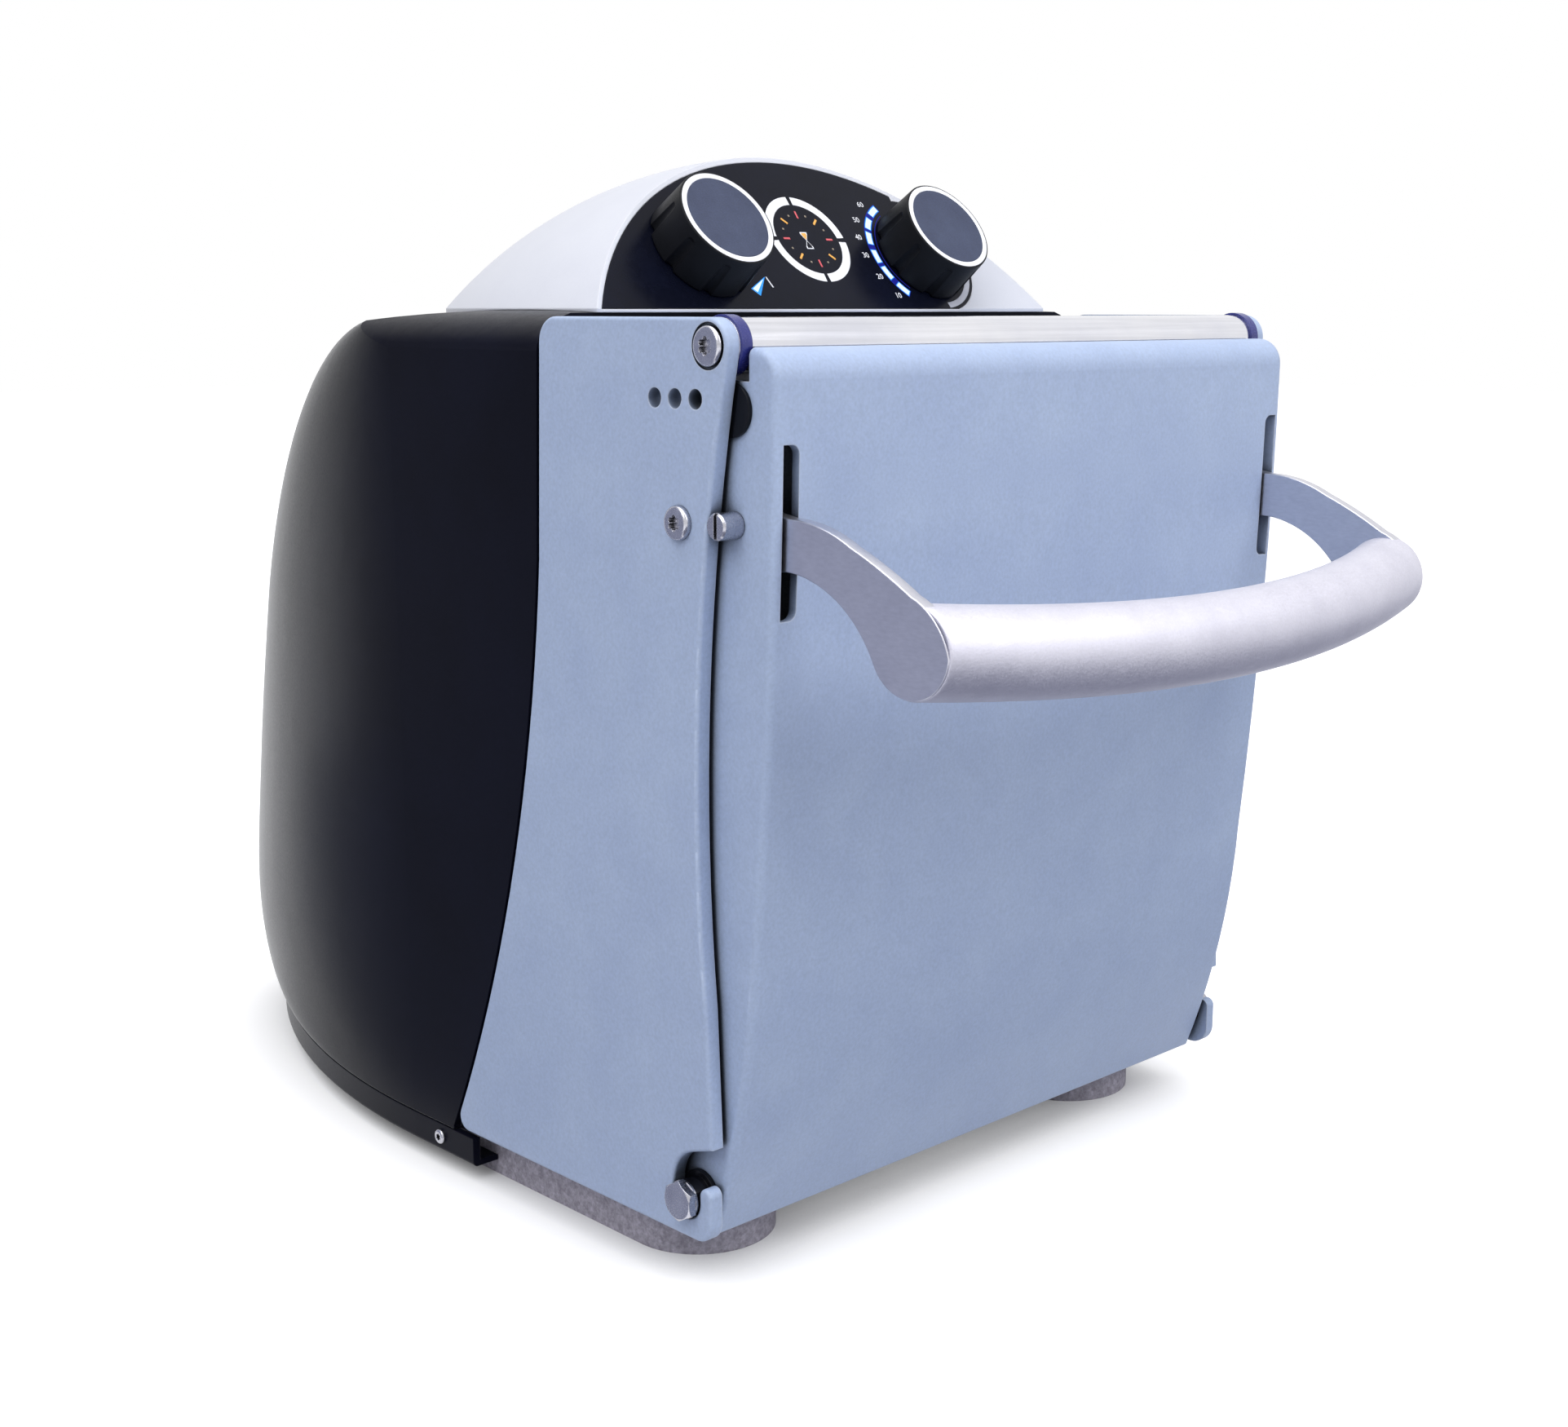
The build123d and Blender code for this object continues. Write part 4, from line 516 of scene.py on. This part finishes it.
def makeLights():
    for name, layer in lights["layers"].items():
        half = layer["sweep"] / 2
        inner = lights["radius"] - layer["width"] / 2
        strips = [arcRing(angle - half, angle + half, inner, inner + layer["width"]) for angle in lights["angles"]]
        makePiece(name, inlayMesh(name, strips, 0, layer["proud"]), layer["finish"], "machine")
    core = inlayMesh("pointer_core", [lights["pointerCore"]], 0, lights["pointerProud"])
    makePiece("pointer_core", core, "diodeCore", "machine")
    # painted light: glowing patches where the diodes' blue falls on the film and on the knob's foot
    for name, spill in lights["spill"].items():
        paintedSpill = inlayMesh(name, [arcRing(*spill)], lights["spillBase"], lights["spillHigh"])
        makePiece(name, paintedSpill, "filmLit", "machine")


makeDialMarks()
makeHourglass()
makeScale()
makeLights()
print("dial, hourglass, scale and lights made")

# Handle, millimetres, y from the bar's axis. The grip's tube bows forward and ends in a thin rim round each arm.
# Its middle and its end each give y, z, and half the section's depth and height.
grip = {"half": 123.7, "middle": (-89.5, 208.3, 11.78, 13.7), "end": (-70.0, 214.2, 14.9, 13.8),
        "curl": 0.5, "curlDrop": 0.3, "rim": 0.9, "wellIn": 0.6, "wellDrop": 1.0, "rings": 96, "steps": 72}
arms = {"outer": 124.0, "wall": 4.5, "edge": 0.35, "pivot": (-3.9, 244.6), "hole": 3.05, "holeSteps": 32}


def makeGrip():
    shape = bmesh.new()
    half = grip["half"]
    flank = half - grip["curl"]
    sections = [((2 * n / grip["rings"] - 1) * flank, 0.0) for n in range(grip["rings"] + 1)]
    close = [(half, -grip["curlDrop"]), (half, -grip["rim"]), (half - grip["wellIn"], -grip["wellDrop"])]
    sections = [(-x, grow) for x, grow in reversed(close)] + sections + close       # the rim and its shallow well
    rings = []
    for x, grow in sections:
        along = min(abs(x) / half, 1.0) ** 2
        y, z, deep, high = (a + (b - a) * along for a, b in zip(grip["middle"], grip["end"]))
        ring = []
        for n in range(grip["steps"]):
            turn = 2 * math.pi * n / grip["steps"]
            place = (x, fascia["barY"] + y + (deep + grow) * math.cos(turn), z + (high + grow) * math.sin(turn))
            ring.append(shape.verts.new(Vector(place) * mm))
        rings.append(ring)
    for near, far in zip(rings, rings[1:]):
        for n in range(grip["steps"]):
            m = (n + 1) % grip["steps"]
            shape.faces.new([near[n], near[m], far[m], far[n]])
    shape.faces.new(rings[0])
    shape.faces.new(rings[-1])
    mesh = outwardMesh("grip_tube", shape)
    for polygon in mesh.polygons:
        polygon.use_smooth = len(polygon.vertices) == 4
    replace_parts(makePiece("grip_tube", mesh, "gripAnodised", "handle"), "handle_grip")


# Points along the arc through three points, its first point left out.
def arcPoints(a, b, c, steps):
    ax, ay, bx, by, cx, cy = *a, *b, *c
    d = 2 * (ax * (by - cy) + bx * (cy - ay) + cx * (ay - by))
    ox = ((ax**2 + ay**2) * (by - cy) + (bx**2 + by**2) * (cy - ay) + (cx**2 + cy**2) * (ay - by)) / d
    oy = ((ax**2 + ay**2) * (cx - bx) + (bx**2 + by**2) * (ax - cx) + (cx**2 + cy**2) * (bx - ax)) / d
    radius = math.hypot(ax - ox, ay - oy)
    start = math.atan2(ay - oy, ax - ox)
    turn = 2 * math.pi
    sweep = (math.atan2(cy - oy, cx - ox) - start) % turn
    middle = (math.atan2(by - oy, bx - ox) - start) % turn
    if middle > sweep:
        sweep -= turn
    return [(ox + radius * math.cos(start + sweep * n / steps), oy + radius * math.sin(start + sweep * n / steps))
            for n in range(1, steps + 1)]


# An arm from the side: up over the top to its round end under the grip, back below, and the latch tail behind.
def armOutline():
    points = [(-22.0, 247.5)]
    for middle, end, steps in (((-34.8, 245.9), (-47.0, 241.2), 8), ((-58.5, 236.0), (-70.0, 229.7), 8),
                               ((-80.3, 222.3), (-84.4, 213.8), 10), ((-80.6, 205.2), (-72.3, 200.9), 10),
                               ((-63.3, 202.0), (-56.4, 208.3), 10), ((-46.8, 221.3), (-31.2, 230.2), 12),
                               ((-26.0, 231.5), (-20.7, 231.9), 4)):
        points += arcPoints(points[-1], middle, end, steps)
    points += [(-7.9, 230.1), (19.1, 230.1), (22.1, 233.1), (22.1, 240.4), (17.6, 240.4), (17.6, 236.1),
               (1.5, 236.1), (3.4, 241.3)]
    points += arcPoints(points[-1], (2.2, 249.8), (-3.9, 252.6), 12)
    return points + [(-10.0, 249.5)]


# A plate cut to an outline with holes, its edges broken, standing square to X with its outer face at outer.
def plateMesh(name, outline, holes, outer, wall, edge, side):
    drawn = bpy.data.curves.new(name, "CURVE")
    drawn.dimensions = "2D"
    drawn.fill_mode = "BOTH"
    drawn.extrude = (wall / 2 - edge) * mm
    drawn.bevel_depth = edge * mm
    drawn.bevel_resolution = 2
    drawn.offset = -edge * mm
    for ring in [outline] + holes:
        spline = drawn.splines.new("POLY")
        spline.points.add(len(ring) - 1)
        for point, (y, z) in zip(spline.points, ring):
            point.co = ((y + fascia["barY"]) * mm, z * mm, 0, 1)
        spline.use_cyclic_u = True
    mesh = shownMesh(newObject(name, drawn))
    upright = Matrix(((0, 0, 1, 0), (1, 0, 0, 0), (0, 1, 0, 0), (0, 0, 0, 1)))      # drawn x, y become y, z
    mesh.transform(Matrix.Translation((side * (outer - wall / 2) * mm, 0, 0)) @ upright)
    joinCorners(mesh, True)
    return mesh


def makeArms():
    y, z = arms["pivot"]
    turns = [2 * math.pi * n / arms["holeSteps"] for n in range(arms["holeSteps"])]
    hole = [(y + arms["hole"] * math.cos(t), z - arms["hole"] * math.sin(t)) for t in turns]
    for side, name in ((-1, "arm_left"), (1, "arm_right")):
        mesh = plateMesh(name, armOutline(), [hole], arms["outer"], arms["wall"], arms["edge"], side)
        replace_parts(makePiece(name, mesh, "steelGround", "handle"), "handle_arms")


makeGrip()
makeArms()
print("handle made")

# Floor and light. The floor is white to the camera and in reflections; near the machine its glow is dimmed as a
# painted shadow, and the lamps' own shadow falls on its diffuse part.
studio = {"floorSize": 14.0, "floorGlow": 0.97, "floorColour": "#BCBCC0", "paintedShadowReach": 0.055, "fill": 0.5,
          "fillTint": (0.95, 0.97, 1, 1)}


def makeFloor():
    size = studio["floorSize"] / 2
    mesh = bpy.data.meshes.new("floor")
    mesh.from_pydata([(-size, -size, 0), (size, -size, 0), (size, size, 0), (-size, size, 0)], [], [(0, 1, 2, 3)])
    floor = newObject("floor", mesh)
    material, tree = newMaterial("studioPaper")
    paper = addNode(tree, "ShaderNodeBsdfDiffuse", {"Color": toLinear(studio["floorColour"])})
    # painted shadow: the glow is dimmed where the machine is near
    near = addNode(tree, "ShaderNodeAmbientOcclusion", {"samples": 16, "Distance": studio["paintedShadowReach"]})
    glow = addNode(tree, "ShaderNodeMath", {"operation": "MULTIPLY", 1: studio["floorGlow"]}, {0: near.outputs["AO"]})
    white = addNode(tree, "ShaderNodeEmission", {}, {"Strength": glow.outputs[0]})
    seen = addNode(tree, "ShaderNodeLightPath")
    either = addNode(tree, "ShaderNodeMath", {"operation": "MAXIMUM"},
                     {0: seen.outputs["Is Camera Ray"], 1: seen.outputs["Is Glossy Ray"]})
    both = addNode(tree, "ShaderNodeAddShader", {}, {0: paper.outputs[0], 1: white.outputs[0]})
    mix = addNode(tree, "ShaderNodeMixShader", {},
                  {0: either.outputs[0], 1: paper.outputs[0], 2: both.outputs[0]})
    addNode(tree, "ShaderNodeOutputMaterial", {}, {"Surface": mix.outputs[0]})
    mesh.materials.append(material)


def makeWorld():
    world = bpy.data.worlds.new("studio")
    bpy.context.scene.world = world
    world.use_nodes = True
    tree = world.node_tree
    tree.nodes.clear()
    seen = addNode(tree, "ShaderNodeLightPath")
    either = addNode(tree, "ShaderNodeMath", {"operation": "MAXIMUM"},
                     {0: seen.outputs["Is Camera Ray"], 1: seen.outputs["Is Glossy Ray"]})
    clear = addNode(tree, "ShaderNodeMath", {"operation": "MAXIMUM"},
                    {0: either.outputs[0], 1: seen.outputs["Is Transmission Ray"]})
    fill = addNode(tree, "ShaderNodeBackground", {"Color": studio["fillTint"], "Strength": studio["fill"]})
    white = addNode(tree, "ShaderNodeBackground", {"Color": (1, 1, 1, 1), "Strength": 1.0})
    mix = addNode(tree, "ShaderNodeMixShader", {}, {0: clear.outputs[0], 1: fill.outputs[0], 2: white.outputs[0]})
    addNode(tree, "ShaderNodeOutputWorld", {}, {"Surface": mix.outputs[0]})


# Grey cards that only reflections see, as a photographer stands them round a shiny machine.
cards = {
    "cardLeft": {"at": (-0.75, 0.42, 0.65), "to": (-0.1, 0.0, 0.65), "size": (1.2, 1.5), "grey": "#A4A9BF"},
    "cardLeftFloor": {"at": (-0.58, 0.32, 0.003), "to": (-0.58, 0.32, 1.0), "size": (0.84, 0.9), "grey": "#A4A9BF"},
    "cardFrontFloor": {"at": (0.25, -0.52, 0.003), "to": (0.25, -0.52, 1.0), "size": (1.5, 0.7), "grey": "#868A9E"},
}


def makeCards():
    for name, card in cards.items():
        wide, high = card["size"][0] / 2, card["size"][1] / 2
        mesh = bpy.data.meshes.new(name)
        mesh.from_pydata([(-wide, -high, 0), (wide, -high, 0), (wide, high, 0), (-wide, high, 0)], [],
                         [(0, 1, 2, 3)])
        board = newObject(name, mesh)
        board.location = card["at"]
        board.rotation_euler = (Vector(card["to"]) - Vector(card["at"])).to_track_quat("Z", "Y").to_euler()
        for ray in ("camera", "diffuse", "shadow", "transmission", "volume_scatter"):
            setattr(board, "visible_" + ray, False)
        material, tree = newMaterial(name)
        grey = addNode(tree, "ShaderNodeEmission", {"Color": toLinear(card["grey"])})
        addNode(tree, "ShaderNodeOutputMaterial", {}, {"Surface": grey.outputs[0]})
        mesh.materials.append(material)


# Soft boxes: where each stands, where it points, its size in metres and its power in watts.
lamps = {
    "softboxOver": {"at": (-0.2, -0.1, 1.7), "to": (0, 0.05, 0.15), "size": 1.4, "power": 13},
    "softboxFront": {"at": (0.2, -1.15, 1.05), "to": (0, 0, 0.25), "size": 0.9, "power": 8},
    "softboxLeft": {"at": (-1.05, -0.3, 1.15), "to": (0, 0, 0.25), "size": 0.8, "power": 6.5},
}


def makeLamps():
    for name, lamp in lamps.items():
        light = bpy.data.lights.new(name, "AREA")
        light.size = lamp["size"]
        light.energy = lamp["power"]
        holder = newObject(name, light)
        holder.location = lamp["at"]
        holder.rotation_euler = (Vector(lamp["to"]) - Vector(lamp["at"])).to_track_quat("-Z", "Y").to_euler()


# The camera that the photograph was taken with, from its straight edges: 2551 pixels of focal length.
view = {"at": (-0.5383, -0.5946, 0.3069), "down": 11.02, "turn": -43.775, "focalPixels": 2551, "width": 1923}


def makeCamera():
    camera = bpy.data.cameras.new("camera")
    camera.sensor_fit = "HORIZONTAL"
    camera.sensor_width = 36
    camera.lens = view["focalPixels"] / view["width"] * camera.sensor_width
    camera.clip_start = 0.01
    holder = newObject("camera", camera)
    holder.location = view["at"]
    holder.rotation_euler = (math.radians(90 - view["down"]), 0, math.radians(view["turn"]))
    bpy.context.scene.camera = holder


makeFloor()
makeWorld()
makeCards()
makeLamps()
makeCamera()
bpy.context.scene.view_settings.view_transform = "Standard"
print("studio set")
